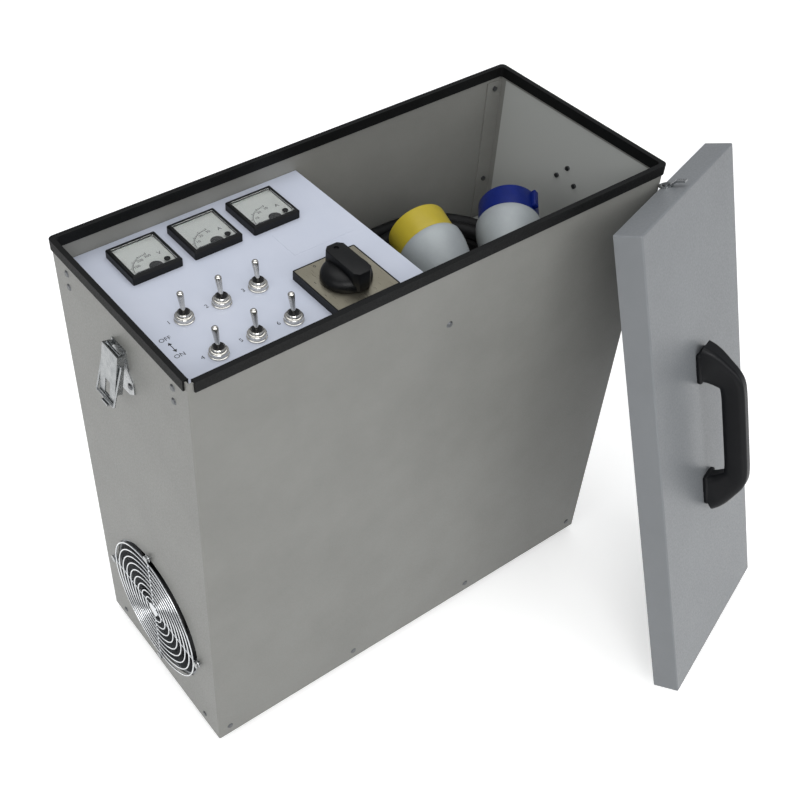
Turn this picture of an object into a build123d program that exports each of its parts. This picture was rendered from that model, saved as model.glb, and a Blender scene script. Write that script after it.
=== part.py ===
from build123d import *
import math
import os

# Generator load bank: a tall sheet-metal case on rubber feet, a control panel and a cord well
# under a lift-off lid, and a fan-blown resistor chamber below them.
# Millimetres. X runs along the case, Y from its front to its back, Z up. The floor is Z = 0.

# ---- case ----
CASE_LENGTH = 501.0
CASE_WIDTH = 216.5
CASE_HEIGHT = 496.0
SHEET = 1.5
BEND_RADIUS = 2.0
FOOT_HEIGHT = 10.0
FOOT_RADIUS = 14.0
FOOT_INSET = 22.0
BASE_FLANGE = 18.0
BASE_RIVET_RISE = 13.0
BASE_RIVET_INSET = 13.5
SEAM_FLANGE = 18.0
SEAM_RIVET_INSET = 9.0
RIVET_RADIUS = 1.6
RIVET_HEAD_RADIUS = 3.4
RIVET_HEAD_HEIGHT = 1.1
HOLE_CLEARANCE = 0.1
CORNER_CLEARANCE = 0.5

# ---- rubber edge trim ----
TRIM_DROP = 8.5
TRIM_CAP = 1.5
TRIM_WALL = 1.75
TRIM_CORNER = 5.0
TRIM_GAP = 5.0

# ---- control panel ----
PANEL_DROP = 25.5
PANEL_LENGTH = 246.0
PANEL_FLANGE = 18.0
LABEL_THICK = 0.5
ANGLE_LEG = 15.0
PANEL_RIVET_Y = 84.0

# ---- cord well ----
WELL_DROP = 171.0
WELL_FLANGE = 15.0
WELL_RIVET_DROP = 67.0

# ---- meters (insets are from the inside of the left wall) ----
METER_SIZE = 48.0
METER_PITCH = 60.0
METER_FIRST_INSET = 62.0
METER_Y = 67.0
METER_FLANGE = 8.0
METER_BORDER = 3.5
METER_BODY_RADIUS = 21.5
METER_BODY_DEPTH = 38.0
DIAL_DEPTH = 6.0
WINDOW_THICK = 1.2
PIVOT_DROP = 19.2
POINTER_LENGTH = 20.5
POINTER_WIDTH = 1.8

# ---- toggle switches ----
SWITCH_PITCH_X = 35.6
SWITCH_PITCH_Y = 51.0
SWITCH_FIRST_INSET = 50.0
SWITCH_BACK_Y = -16.7
BUSHING_RADIUS = 6.0
BUSHING_HEIGHT = 8.0
NUT_FLATS = 15.0
NUT_HEIGHT = 3.0
WASHER_RADIUS = 8.6
WASHER_THICK = 1.0
LEVER_LENGTH = 17.0
LEVER_BALL = 2.6
LEVER_THROW = 12.5
SWITCH_BODY = (28.0, 17.0, 20.0)

# ---- selector ----
SELECTOR_INSET = 182.3
SELECTOR_Y = -55.6
SELECTOR_SIZE = 64.0
BEZEL_HEIGHT = 8.0
SKIRT_RADIUS = 22.0
SKIRT_HEIGHT = 9.0
KNOB_HEIGHT = 17.5
GRIP_LENGTH = 45.0
GRIP_WIDTH = 13.0
SHAFT_RADIUS = 4.0
SHAFT_FIT = 0.05

# ---- toggle latches ----
LATCH_BASE_TOP_DROP = 37.0
LATCH_BASE_LENGTH = 48.0
LATCH_WIDTH = 22.0
LATCH_FOOT_WIDTH = 36.0
LATCH_SHEET = 1.2
LATCH_PIN_RADIUS = 1.5
LATCH_PIN_OUT = 5.2
LATCH_PIN_DROP = 5.0
EAR_RADIUS = 3.1
EAR_NECK = 2.4
LEVER_REACH = 50.0
LEVER_WEB_OUT = 4.6
LEVER_SIDE_PLAY = 0.3
LEVER_OPEN = 10.0
BAIL_OUT = 1.5
BAIL_DROP = 7.0
BAIL_LENGTH = 38.7
BAIL_SIDE_PLAY = 0.8
BAIL_WIRE = 1.0

# ---- fan ----
FAN_CENTRE_Z = 116.0
FAN_OPENING = 77.0
FAN_OUTER = 86.0
FAN_DEPTH = 51.0
FAN_BORE = 74.5
FAN_WALL = 2.0
FAN_TIP_GAP = 2.0
FAN_HUB = 38.0
FAN_BLADES = 5
FAN_STUB_START = 10.0
FAN_SCREW_RADIUS = 81.0
FAN_SCREW_HOLE = 2.2
GUARD_RING_FIRST = 7.0
GUARD_RING_STEP = 7.6
GUARD_RINGS = 10
GUARD_WIRE = 1.8
GUARD_STANDOFF = 3.0

# ---- resistor chamber ----
DECK_Z = 218.0
OUTLET_SIZE = 150.0
OUTLET_SLOTS = 12
OUTLET_SLOT = (130.0, 6.0)
GRILLE_MARGIN = 12.0
GRILLE_THICK = 1.2
ELEMENT_RADIUS = 10.0
ELEMENT_LENGTH = 330.0
ELEMENT_PITCH_Y = 56.0
ELEMENT_PITCH_Z = 62.0
ELEMENT_END_GAP = 55.0

# ---- cords and plugs ----
CABLE_RADIUS = 6.5
COIL_RADIUS = 73.0
COIL_CENTRE = (106.0, 13.0)
COIL_GAP = 0.3
LEAD_INSET = 0.2
LEAD_CLEAR = 6.0
GLAND_RADIUS = 11.5
GLAND_LENGTH = 22.0
PLUG_COLLAR_RADIUS = 28.0
PLUG_COLLAR_WALL = 2.6
PLUG_COLLAR_LENGTH = 26.0
PLUG_LENGTH = 108.0
PLUG_NUT_RADIUS = 14.5
PLUG_NUT_LENGTH = 20.0
PIN_RADIUS = 2.8
PIN_CIRCLE = 14.0
# Mouth centre, the way it faces round Z, and how far it is tipped up.
YELLOW_PLUG = ((51.5, 14.0, 450.0), 80.0, 22.0)
BLUE_PLUG = ((172.0, 4.0, 442.0), 54.0, 12.0)
YELLOW_LEAD_ANGLE = -63.0
BLUE_LEAD_ANGLE = -34.5

# ---- lid ----
LID_SHEET = 1.2
LID_CLEARANCE = 0.5
LID_DEPTH = 26.0
LID_YAW = 21.84
LID_LEAN = 19.38
LID_ROLL = -6.31
LID_TOUCH_SHARE = 0.521
LID_GAP = 0.5
HANDLE_LENGTH = 176.0
HANDLE_TOP = 92.0
HANDLE_WIDTH = 24.0
HANDLE_HEIGHT = 42.0
HANDLE_GRIP = 14.0
HANDLE_FOOT = 34.0
KEEPER_DISC = 6.5
KEEPER_SHEET = 1.5
KEEPER_OVERHANG = 3.0
KEEPER_STANDOFF = 4.5
KEEPER_WIDTH = 6.0

# ---- places worked out from the sizes above ----
RIM_Z = FOOT_HEIGHT + CASE_HEIGHT
HALF_L = CASE_LENGTH / 2
HALF_W = CASE_WIDTH / 2
INNER_L = HALF_L - SHEET
INNER_W = HALF_W - SHEET
PANEL_Z = RIM_Z - PANEL_DROP
PANEL_RIGHT = -INNER_L + PANEL_LENGTH
LABEL_Z = PANEL_Z + LABEL_THICK
WELL_LEFT = PANEL_RIGHT + SHEET
WELL_Z = RIM_Z - WELL_DROP
METER_XS = [-INNER_L + METER_FIRST_INSET + i * METER_PITCH for i in range(3)]
SWITCH_FIRST_X = -INNER_L + SWITCH_FIRST_INSET
SELECTOR_X = -INNER_L + SELECTOR_INSET
SWITCH_SPOTS = [
    (SWITCH_FIRST_X + column * SWITCH_PITCH_X, SWITCH_BACK_Y - row * SWITCH_PITCH_Y)
    for row in range(2)
    for column in range(3)
]
SWITCH_PIVOT_Z = LABEL_Z + BUSHING_HEIGHT - 2.0
BEZEL_Z = LABEL_Z + BEZEL_HEIGHT
LATCH_TOP_Z = RIM_Z - LATCH_BASE_TOP_DROP
LATCH_PIN_Z = LATCH_TOP_Z - LATCH_PIN_DROP
COIL_WIDTH = 4 * CABLE_RADIUS
COIL_HEIGHT = 4 * CABLE_RADIUS
COIL_LEVELS = [WELL_Z + COIL_GAP + i * (COIL_HEIGHT + COIL_GAP) for i in range(2)]
LEAD_RADIUS = COIL_RADIUS + CABLE_RADIUS - LEAD_INSET
GLAND_Y = COIL_CENTRE[1] + LEAD_RADIUS
LID_WIDTH = CASE_WIDTH + 2 * (TRIM_WALL + LID_CLEARANCE + LID_SHEET)
LID_LENGTH = CASE_LENGTH + 2 * (TRIM_WALL + LID_CLEARANCE + LID_SHEET)


# ---- small helpers ----
def block(x0, x1, y0, y1, z0, z1):
    """A box between two corners."""
    centre = Pos((x0 + x1) / 2, (y0 + y1) / 2, (z0 + z1) / 2)
    return centre * Box(abs(x1 - x0), abs(y1 - y0), abs(z1 - z0))


def inside_walls(shape):
    """Rounds a sheet's outer corners so that it drops in past the bends of the walls."""
    outline = RectangleRounded(2 * INNER_L, 2 * INNER_W, BEND_RADIUS - SHEET + CORNER_CLEARANCE)
    return shape & extrude(Pos(0, 0, FOOT_HEIGHT) * outline, amount=CASE_HEIGHT)


def rod(start, end, radius):
    """A round bar from one point to another."""
    start, end = Vector(*start), Vector(*end)
    plane = Plane(origin=start, z_dir=end - start)
    return extrude(plane * Circle(radius), amount=(end - start).length)


def disc_stack(plane, sizes):
    """Round steps stacked along a plane's normal: a list of (radius, height)."""
    steps, level = None, 0.0
    for radius, height in sizes:
        step = extrude(plane.offset(level) * Circle(radius), amount=height)
        steps = step if steps is None else steps + step
        level += height
    return steps


def rivet(head, inward, grip):
    """A domed blind rivet: its head lies on the outer face, its tail behind the sheets."""
    head, inward = Vector(*head), Vector(*inward)
    plane = Plane(origin=head, z_dir=inward)
    dome = extrude(plane * Circle(RIVET_HEAD_RADIUS), amount=-RIVET_HEAD_HEIGHT, taper=45)
    shank = disc_stack(plane, [(RIVET_RADIUS, grip), (RIVET_RADIUS * 1.5, 2.0)])
    return dome + shank


def flush_head(head, inward, grow=0.0):
    """The countersunk head of a grille rivet, level with the plate's outer face."""
    plane = Plane(origin=Vector(*head), z_dir=Vector(*inward))
    return extrude(plane * Circle(RIVET_RADIUS + GRILLE_THICK + grow), amount=GRILLE_THICK, taper=45)


def flush_rivet(head, inward, grip):
    """A blind rivet whose countersunk head leaves the grille's face flat."""
    plane = Plane(origin=Vector(*head), z_dir=Vector(*inward))
    shank = disc_stack(plane, [(RIVET_RADIUS, grip), (RIVET_RADIUS * 1.5, 2.0)])
    return flush_head(head, inward) + shank


def rivet_hole(head, inward, grip):
    """The clearance hole for such a rivet."""
    head, inward = Vector(*head), Vector(*inward)
    return rod(head - inward, head + inward * (grip + 1), RIVET_RADIUS + HOLE_CLEARANCE)


# ---- rivet places: (head, inward direction, thickness gripped) ----
def base_rivet_spots():
    z = FOOT_HEIGHT + BASE_RIVET_RISE
    span = CASE_LENGTH - 2 * BASE_RIVET_INSET
    spots = []
    for i in range(4):
        x = -HALF_L + BASE_RIVET_INSET + i * span / 3
        spots.append(((x, -HALF_W, z), (0, 1, 0), 2 * SHEET))
        spots.append(((x, HALF_W, z), (0, -1, 0), 2 * SHEET))
    for y in (-HALF_W / 2, HALF_W / 2):
        spots.append(((-HALF_L, y * 1.5, z), (1, 0, 0), 2 * SHEET))
        spots.append(((HALF_L, y * 1.5, z), (-1, 0, 0), 2 * SHEET))
    return spots


def seam_rivet_spots():
    x = INNER_L - SEAM_RIVET_INSET
    levels = [BASE_FLANGE + 40 + i * (CASE_HEIGHT - BASE_FLANGE - 60) / 4 for i in range(5)]
    return [((x, HALF_W, FOOT_HEIGHT + z), (0, -1, 0), 2 * SHEET) for z in levels]


def panel_rivet_spots():
    """Pairs on both ends: the upper one grips the panel's lip, the lower one its angle."""
    spots = []
    for y in (-PANEL_RIVET_Y, PANEL_RIVET_Y):
        spots.append(((-HALF_L, y, PANEL_Z + 5), (1, 0, 0), 2 * SHEET))
        spots.append(((-HALF_L, y, PANEL_Z - SHEET - ANGLE_LEG / 2), (1, 0, 0), 2 * SHEET))
    return spots


def well_rivet_spots():
    x, z = WELL_LEFT + WELL_FLANGE / 2, RIM_Z - WELL_RIVET_DROP
    return [((x, -HALF_W, z), (0, 1, 0), 2 * SHEET), ((x, HALF_W, z), (0, -1, 0), 2 * SHEET)]


def latch_rivet_spots(side):
    z = LATCH_TOP_Z - 23
    places = [(0.0, z), (-12.0, z - 14), (12.0, z - 14)]
    head_x = side * (HALF_L + LATCH_SHEET)
    return [((head_x, y, level), (-side, 0, 0), LATCH_SHEET + SHEET) for y, level in places]


def grille_rivet_spots():
    reach = OUTLET_SIZE / 2 + GRILLE_MARGIN / 2
    head_x = HALF_L + GRILLE_THICK
    return [
        ((head_x, y, FAN_CENTRE_Z + z), (-1, 0, 0), GRILLE_THICK + SHEET)
        for y in (-reach, reach)
        for z in (-reach, reach)
    ]


def foot_spots():
    x, y = HALF_L - FOOT_INSET, HALF_W - FOOT_INSET
    return [(sx * x, sy * y) for sx in (-1, 1) for sy in (-1, 1)]


def wall_rivets():
    return base_rivet_spots() + seam_rivet_spots() + panel_rivet_spots() + well_rivet_spots()


def latch_rivets():
    return latch_rivet_spots(-1) + latch_rivet_spots(1)


# ---- case ----
def case_wrap():
    """Four walls folded from one sheet, closed by a riveted flange inside the back right corner."""
    outline = RectangleRounded(CASE_LENGTH, CASE_WIDTH, BEND_RADIUS)
    inside = RectangleRounded(2 * INNER_L, 2 * INNER_W, BEND_RADIUS - SHEET)
    wall = extrude(Pos(0, 0, FOOT_HEIGHT) * (outline - inside), amount=CASE_HEIGHT)
    seam_top = RIM_Z - TRIM_DROP - 4
    seam_low = FOOT_HEIGHT + BASE_FLANGE + 2
    seam = block(INNER_L - SEAM_FLANGE, INNER_L, INNER_W - SHEET, INNER_W, seam_low, seam_top)
    wall += seam
    fan_axis = Plane(origin=(-HALF_L - 1, 0, FAN_CENTRE_Z), z_dir=(1, 0, 0))
    wall -= extrude(fan_axis * Circle(FAN_OPENING), amount=SHEET + 2)
    wall -= block(INNER_L - 1, HALF_L + 1, -OUTLET_SIZE / 2, OUTLET_SIZE / 2,
                  FAN_CENTRE_Z - OUTLET_SIZE / 2, FAN_CENTRE_Z + OUTLET_SIZE / 2)
    for y, z in fan_screw_places():
        wall -= rod((-HALF_L - 1, y, z), (-INNER_L + 1, y, z), FAN_SCREW_HOLE)
    for spot in wall_rivets() + latch_rivets() + grille_rivet_spots():
        wall -= rivet_hole(*spot)
    return wall


def base_tray():
    """The floor of the case, with its edges turned up inside the walls."""
    tray = block(-INNER_L, INNER_L, -INNER_W, INNER_W, FOOT_HEIGHT, FOOT_HEIGHT + BASE_FLANGE)
    hollow = block(-INNER_L + SHEET, INNER_L - SHEET, -INNER_W + SHEET, INNER_W - SHEET,
                   FOOT_HEIGHT + SHEET, FOOT_HEIGHT + BASE_FLANGE + 1)
    tray -= hollow
    for spot in base_rivet_spots():
        tray -= rivet_hole(*spot)
    for x, y in foot_spots():
        tray -= rod((x, y, FOOT_HEIGHT - 1), (x, y, FOOT_HEIGHT + SHEET + 1), 2.6)
    return inside_walls(tray)


def feet():
    """Tapered rubber bumpers, each with a recess for its screw."""
    solids = []
    for x, y in foot_spots():
        foot = Pos(x, y, FOOT_HEIGHT / 2) * Cone(FOOT_RADIUS - 2, FOOT_RADIUS, FOOT_HEIGHT)
        foot -= rod((x, y, -1), (x, y, FOOT_HEIGHT - 4), 5.0)
        foot -= rod((x, y, 0), (x, y, FOOT_HEIGHT + 1), 2.6)
        solids.append(foot)
    return Compound(children=solids)


def case_fasteners():
    """All rivets of the case, and the screws of its feet."""
    solids = [rivet(*spot) for spot in wall_rivets() + latch_rivets()]
    solids += [flush_rivet(*spot) for spot in grille_rivet_spots()]
    for x, y in foot_spots():
        plane = Plane(origin=(x, y, FOOT_HEIGHT - 7), z_dir=(0, 0, 1))
        solids.append(disc_stack(plane, [(4.5, 3.0), (2.5, 4 + SHEET), (4.0, 3.2)]))
    return Compound(children=solids)


def rim_trim():
    """Rubber strip pushed over the rim, its ends left apart at the front left corner."""
    grown = 2 * TRIM_WALL
    outer = RectangleRounded(CASE_LENGTH + grown, CASE_WIDTH + grown, TRIM_CORNER)
    inner = RectangleRounded(2 * INNER_L - grown, 2 * INNER_W - grown, TRIM_CORNER - TRIM_WALL)
    low = RIM_Z - TRIM_DROP
    strip = extrude(Pos(0, 0, low) * (outer - inner), amount=TRIM_DROP + TRIM_CAP)
    outline = RectangleRounded(CASE_LENGTH, CASE_WIDTH, BEND_RADIUS)
    inside = RectangleRounded(2 * INNER_L, 2 * INNER_W, BEND_RADIUS - SHEET)
    strip -= extrude(Pos(0, 0, low - 1) * (outline - inside), amount=TRIM_DROP + 1)
    gap = block(-HALF_L - 5, -HALF_L + TRIM_GAP, -HALF_W - 5, -HALF_W + TRIM_GAP, low - 1, RIM_Z + 5)
    return strip - gap


# ---- control panel ----
def panel_holes(grow=0.0):
    """Cutters through the panel for meters, switches and selector."""
    low, high = PANEL_Z - 5, PANEL_Z + 5
    cutters = [rod((x, METER_Y, low), (x, METER_Y, high), METER_BODY_RADIUS + 0.5 + grow)
               for x in METER_XS]
    cutters += [rod((x, y, low), (x, y, high), BUSHING_RADIUS + 0.2 + grow)
                for x, y in SWITCH_SPOTS]
    cutters.append(rod((SELECTOR_X, SELECTOR_Y, low), (SELECTOR_X, SELECTOR_Y, high), 9.0 + grow))
    return cutters


def control_panel():
    """Panel plate with a raised lip at the left end and a folded edge at the well."""
    top, low = PANEL_Z, PANEL_Z - SHEET
    plate = block(-INNER_L, PANEL_RIGHT, -INNER_W, INNER_W, low, top)
    plate += block(-INNER_L, -INNER_L + SHEET, -INNER_W + 8, INNER_W - 8, low, top + 10)
    plate += block(PANEL_RIGHT - SHEET, PANEL_RIGHT, -INNER_W + SHEET, INNER_W - SHEET,
                   top - PANEL_FLANGE, top)
    for cutter in panel_holes():
        plate -= cutter
    for spot in panel_rivet_spots():
        plate -= rivet_hole(*spot)
    return inside_walls(plate)


def panel_label():
    """Thin white facing that covers the whole panel."""
    face = block(-INNER_L + SHEET, PANEL_RIGHT - 0.5, -INNER_W + 0.5, INNER_W - 0.5,
                 PANEL_Z, LABEL_Z)
    for cutter in panel_holes():
        face -= cutter
    return face


def panel_angle():
    """Angle under the panel's left end."""
    top = PANEL_Z - SHEET
    upright = block(-INNER_L, -INNER_L + SHEET, -INNER_W + 3, INNER_W - 3, top - ANGLE_LEG, top)
    ledge = block(-INNER_L, -INNER_L + 12, -INNER_W + 3, INNER_W - 3, top - SHEET, top)
    angle = upright + ledge
    for spot in panel_rivet_spots():
        angle -= rivet_hole(*spot)
    return angle


# ---- cord well and deck ----
def storage_well():
    """Divider and floor of the cord well, folded from one sheet with flanges to the walls."""
    floor = block(WELL_LEFT - SHEET, INNER_L, -INNER_W, INNER_W, WELL_Z - SHEET, WELL_Z)
    divider = block(WELL_LEFT - SHEET, WELL_LEFT, -INNER_W, INNER_W, WELL_Z - SHEET, PANEL_Z - 3)
    well = floor + divider
    for side in (-1, 1):
        near, far = sorted((side * INNER_W, side * (INNER_W - SHEET)))
        well += block(WELL_LEFT - SHEET, WELL_LEFT + WELL_FLANGE, near, far, WELL_Z, PANEL_Z - 18)
        well += block(WELL_LEFT, INNER_L, near, far, WELL_Z - WELL_FLANGE, WELL_Z)
    well += block(INNER_L - SHEET, INNER_L, -INNER_W + 4, INNER_W - 4, WELL_Z - WELL_FLANGE, WELL_Z)
    well -= block(INNER_L - SEAM_FLANGE - 2, INNER_L + 1, INNER_W - SHEET - 2, INNER_W + 1,
                  WELL_Z - WELL_FLANGE - 1, WELL_Z + 1)
    for spot in well_rivet_spots():
        well -= rivet_hole(*spot)
    for i in range(2):
        x0, x1 = WELL_LEFT - SHEET - 1, WELL_LEFT + 1
        z = gland_level(i)
        well -= rod((x0, GLAND_Y, z), (x1, GLAND_Y, z), CABLE_RADIUS + 1.7)
    return inside_walls(well)


def duct_deck():
    """Deck over the hot chamber, with its edges turned down."""
    deck = block(-INNER_L, INNER_L, -INNER_W, INNER_W, DECK_Z - 12, DECK_Z)
    deck -= block(-INNER_L + SHEET, INNER_L - SHEET, -INNER_W + SHEET, INNER_W - SHEET,
                  DECK_Z - 13, DECK_Z - SHEET)
    deck -= block(INNER_L - SEAM_FLANGE - 1, INNER_L + 1, INNER_W - 2 * SHEET - 1, INNER_W + 1,
                  DECK_Z - 13, DECK_Z + 1)
    return inside_walls(deck)


def outlet_grille():
    """Slotted plate over the air outlet."""
    reach = OUTLET_SIZE / 2 + GRILLE_MARGIN
    plate = block(HALF_L, HALF_L + GRILLE_THICK, -reach, reach,
                  FAN_CENTRE_Z - reach, FAN_CENTRE_Z + reach)
    width, height = OUTLET_SLOT
    pitch = OUTLET_SIZE / OUTLET_SLOTS
    for i in range(OUTLET_SLOTS):
        z = FAN_CENTRE_Z - OUTLET_SIZE / 2 + (i + 0.5) * pitch
        plate -= block(HALF_L - 1, HALF_L + 3, -width / 2, width / 2, z - height / 2, z + height / 2)
    for head, inward, grip in grille_rivet_spots():
        plate -= rivet_hole(head, inward, grip)
        plate -= flush_head(head, inward, HOLE_CLEARANCE)
    return plate


def element_rack():
    """Two upright plates that hold the resistor tubes, each with a foot on the case floor."""
    plates = []
    for side in (-1, 1):
        x = side * ELEMENT_LENGTH / 2 + ELEMENT_END_GAP / 2
        low, high = FOOT_HEIGHT + SHEET, DECK_Z - 16
        plate = block(x - 0.75, x + 0.75, -INNER_W + 6, INNER_W - 6, low, high)
        plate += block(x - 0.75, x + side * 15, -INNER_W + 6, INNER_W - 6, low, low + SHEET)
        for y, z in element_places():
            plate -= rod((x - 3, y, z), (x + 3, y, z), ELEMENT_RADIUS - 4 + 0.3)
        plates.append(plate)
    return Compound(children=plates)


def element_places():
    return [(column * ELEMENT_PITCH_Y, FAN_CENTRE_Z + row * ELEMENT_PITCH_Z)
            for row in (-0.5, 0.5) for column in (-1, 0, 1)]


def heating_elements():
    """Wire-wound resistor tubes, their thinner ends carried in the rack plates."""
    middle = ELEMENT_END_GAP / 2
    solids = []
    for y, z in element_places():
        start = (middle - ELEMENT_LENGTH / 2 - 8, y, z)
        plane = Plane(origin=start, z_dir=(1, 0, 0))
        neck = ELEMENT_RADIUS - 4
        sizes = [(neck, 10), (ELEMENT_RADIUS, ELEMENT_LENGTH - 4), (neck, 10)]
        solids.append(disc_stack(plane, sizes))
    return Compound(children=solids)


def terminal_block():
    """Barrier strip on the deck, under the switches."""
    x, y = SWITCH_FIRST_X + 10, -40
    strip = block(x, x + 120, y - 11, y + 11, DECK_Z, DECK_Z + 8)
    for i in range(9):
        wall_x = x + i * 14.5
        strip += block(wall_x, wall_x + 3, y - 11, y + 11, DECK_Z + 8, DECK_Z + 18)
    return strip


def thermal_cutout():
    """Button thermostat held on the deck by its flange, with two blade terminals."""
    plane = Plane(origin=(40, 40, DECK_Z), z_dir=(0, 0, 1))
    body = disc_stack(plane, [(12.5, 1.0), (8.0, 9.0)])
    for side in (-1, 1):
        body += block(40 + side * 5 - 0.4, 40 + side * 5 + 0.4, 37, 43, DECK_Z + 10, DECK_Z + 18)
    return body


# ---- meters ----
def meter_case(x):
    """Square moving-iron meter: bevelled flange, recessed dial seat and round body."""
    half = METER_SIZE / 2
    flange = extrude(Pos(x, METER_Y, LABEL_Z) * RectangleRounded(METER_SIZE, METER_SIZE, 1.5),
                     amount=METER_FLANGE)
    top_edges = flange.faces().sort_by(Axis.Z)[-1].edges()
    flange = chamfer(top_edges, 1.2)
    opening = METER_SIZE - 2 * METER_BORDER
    flange -= Pos(x, METER_Y, LABEL_Z + METER_FLANGE - DIAL_DEPTH / 2) * Box(
        opening, opening, DIAL_DEPTH + 0.001)
    body = rod((x, METER_Y, LABEL_Z - METER_BODY_DEPTH), (x, METER_Y, LABEL_Z + 1),
               METER_BODY_RADIUS)
    for side in (-1, 1):
        stud_low = LABEL_Z - METER_BODY_DEPTH - 12
        body += rod((x + side * half / 3, METER_Y, stud_low),
                    (x + side * half / 3, METER_Y, LABEL_Z - METER_BODY_DEPTH + 1), 2.0)
    return flange + body


def meter_cases():
    return Compound(children=[meter_case(x) for x in METER_XS])


def meter_dials():
    """Dial plates, each lying on its seat with the pivot stud through it."""
    plates = []
    size = METER_SIZE - 2 * METER_BORDER
    low = LABEL_Z + METER_FLANGE - DIAL_DEPTH
    for x in METER_XS:
        plate = Pos(x, METER_Y, low + 0.4) * Box(size - 0.4, size - 0.4, 0.8)
        y = METER_Y - PIVOT_DROP + 1
        plate += rod((x + 1.5, y, low + 0.5), (x + 1.5, y, low + 3.2), 0.8)
        plates.append(plate)
    return Compound(children=plates)


def meter_windows():
    """Clear covers, each with the half-round boss that hides the pivot."""
    covers = []
    size = METER_SIZE - 2 * METER_BORDER
    top = LABEL_Z + METER_FLANGE
    for x in METER_XS:
        cover = Pos(x, METER_Y, top - WINDOW_THICK / 2 - 0.2) * Box(size - 0.2, size - 0.2, WINDOW_THICK)
        covers.append(cover)
    return Compound(children=covers)


def meter_pointer(x):
    """Flat pointer lying at zero, on a collar that turns on the dial's stud."""
    y = METER_Y - PIVOT_DROP + 1
    low = LABEL_Z + METER_FLANGE - DIAL_DEPTH + 1.6
    pivot_x = x + 1.5
    collar = rod((pivot_x, y, low), (pivot_x, y, low + 1.6), 2.0)
    collar -= rod((pivot_x, y, low - 1), (pivot_x, y, low + 3), 0.8 + SHAFT_FIT)
    needle = block(pivot_x - POINTER_LENGTH, pivot_x - 1.4, y - POINTER_WIDTH / 2,
                   y + POINTER_WIDTH / 2, low + 0.3, low + 1.1)
    return collar + needle


# ---- toggle switches ----
def switch_bodies():
    """Switch bodies under the panel, each with three terminals."""
    length, width, depth = SWITCH_BODY
    solids = []
    for x, y in SWITCH_SPOTS:
        top = PANEL_Z - SHEET - 2
        body = block(x - width / 2, x + width / 2, y - length / 2, y + length / 2, top - depth, top)
        for step in (-1, 0, 1):
            body += block(x - 3, x + 3, y + step * 9 - 0.4, y + step * 9 + 0.4, top - depth - 9,
                          top - depth)
        solids.append(body)
    return Compound(children=solids)


def switch_bushings():
    """Threaded bushings through the panel, each open for the swing of its lever."""
    solids = []
    for x, y in SWITCH_SPOTS:
        low = PANEL_Z - SHEET - 2
        bushing = rod((x, y, low), (x, y, LABEL_Z + BUSHING_HEIGHT), BUSHING_RADIUS)
        bushing = chamfer(bushing.faces().sort_by(Axis.Z)[-1].edges(), 0.6)
        throat = Pos(x, y, SWITCH_PIVOT_Z + 0.7) * Cone(3.4, 4.9, 8.0)
        bushing -= throat
        solids.append(bushing)
    return Compound(children=solids)


def switch_nuts():
    """Lock washer and hexagon nut on each bushing."""
    solids = []
    for x, y in SWITCH_SPOTS:
        plane = Plane(origin=(x, y, LABEL_Z), z_dir=(0, 0, 1))
        washer = disc_stack(plane, [(WASHER_RADIUS, WASHER_THICK)])
        corner = NUT_FLATS / math.sqrt(3)
        nut = extrude(plane.offset(WASHER_THICK) * RegularPolygon(corner, 6), amount=NUT_HEIGHT)
        bore = rod((x, y, LABEL_Z - 1), (x, y, LABEL_Z + 8), BUSHING_RADIUS + SHAFT_FIT)
        solids.append(washer + nut - bore)
    return Compound(children=solids)


def switch_lever(x, y):
    """Bat lever resting in OFF, tipped to the back, on a ball in the bushing's throat."""
    pivot = Vector(x, y, SWITCH_PIVOT_Z)
    profile = Polyline((0, 3.0), (1.8, 3.0), (LEVER_BALL, LEVER_LENGTH - 1.6),
                       (LEVER_BALL * 0.6, LEVER_LENGTH), (0, LEVER_LENGTH), (0, 3.0))
    bat = revolve(Plane.XZ * make_face(profile), Axis.Z)
    ball = Sphere(3.0)
    lever = (bat + rod((0, 0, 0), (0, 0, 4), 1.8) + ball).rotate(Axis.X, -LEVER_THROW)
    return lever.translate(pivot)


# ---- selector ----
def selector_bezel():
    """Square black frame of the rotary switch."""
    plane = Plane(origin=(SELECTOR_X, SELECTOR_Y, LABEL_Z), z_dir=(0, 0, 1))
    frame = extrude(plane * RectangleRounded(SELECTOR_SIZE, SELECTOR_SIZE, 1.5), amount=BEZEL_HEIGHT)
    frame -= extrude(plane.offset(BEZEL_HEIGHT - 0.8) * Rectangle(SELECTOR_SIZE - 2.4,
                     SELECTOR_SIZE - 2.4), amount=2)
    return frame - rod((SELECTOR_X, SELECTOR_Y, LABEL_Z - 1), (SELECTOR_X, SELECTOR_Y, BEZEL_Z + 1),
                       SHAFT_RADIUS + 3)


def selector_plate():
    """Metal position plate let into the frame."""
    plane = Plane(origin=(SELECTOR_X, SELECTOR_Y, BEZEL_Z - 0.8), z_dir=(0, 0, 1))
    plate = extrude(plane * Rectangle(SELECTOR_SIZE - 2.8, SELECTOR_SIZE - 2.8), amount=0.8)
    return plate - rod((SELECTOR_X, SELECTOR_Y, BEZEL_Z - 3), (SELECTOR_X, SELECTOR_Y, BEZEL_Z + 3),
                       SHAFT_RADIUS + 3)


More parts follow.
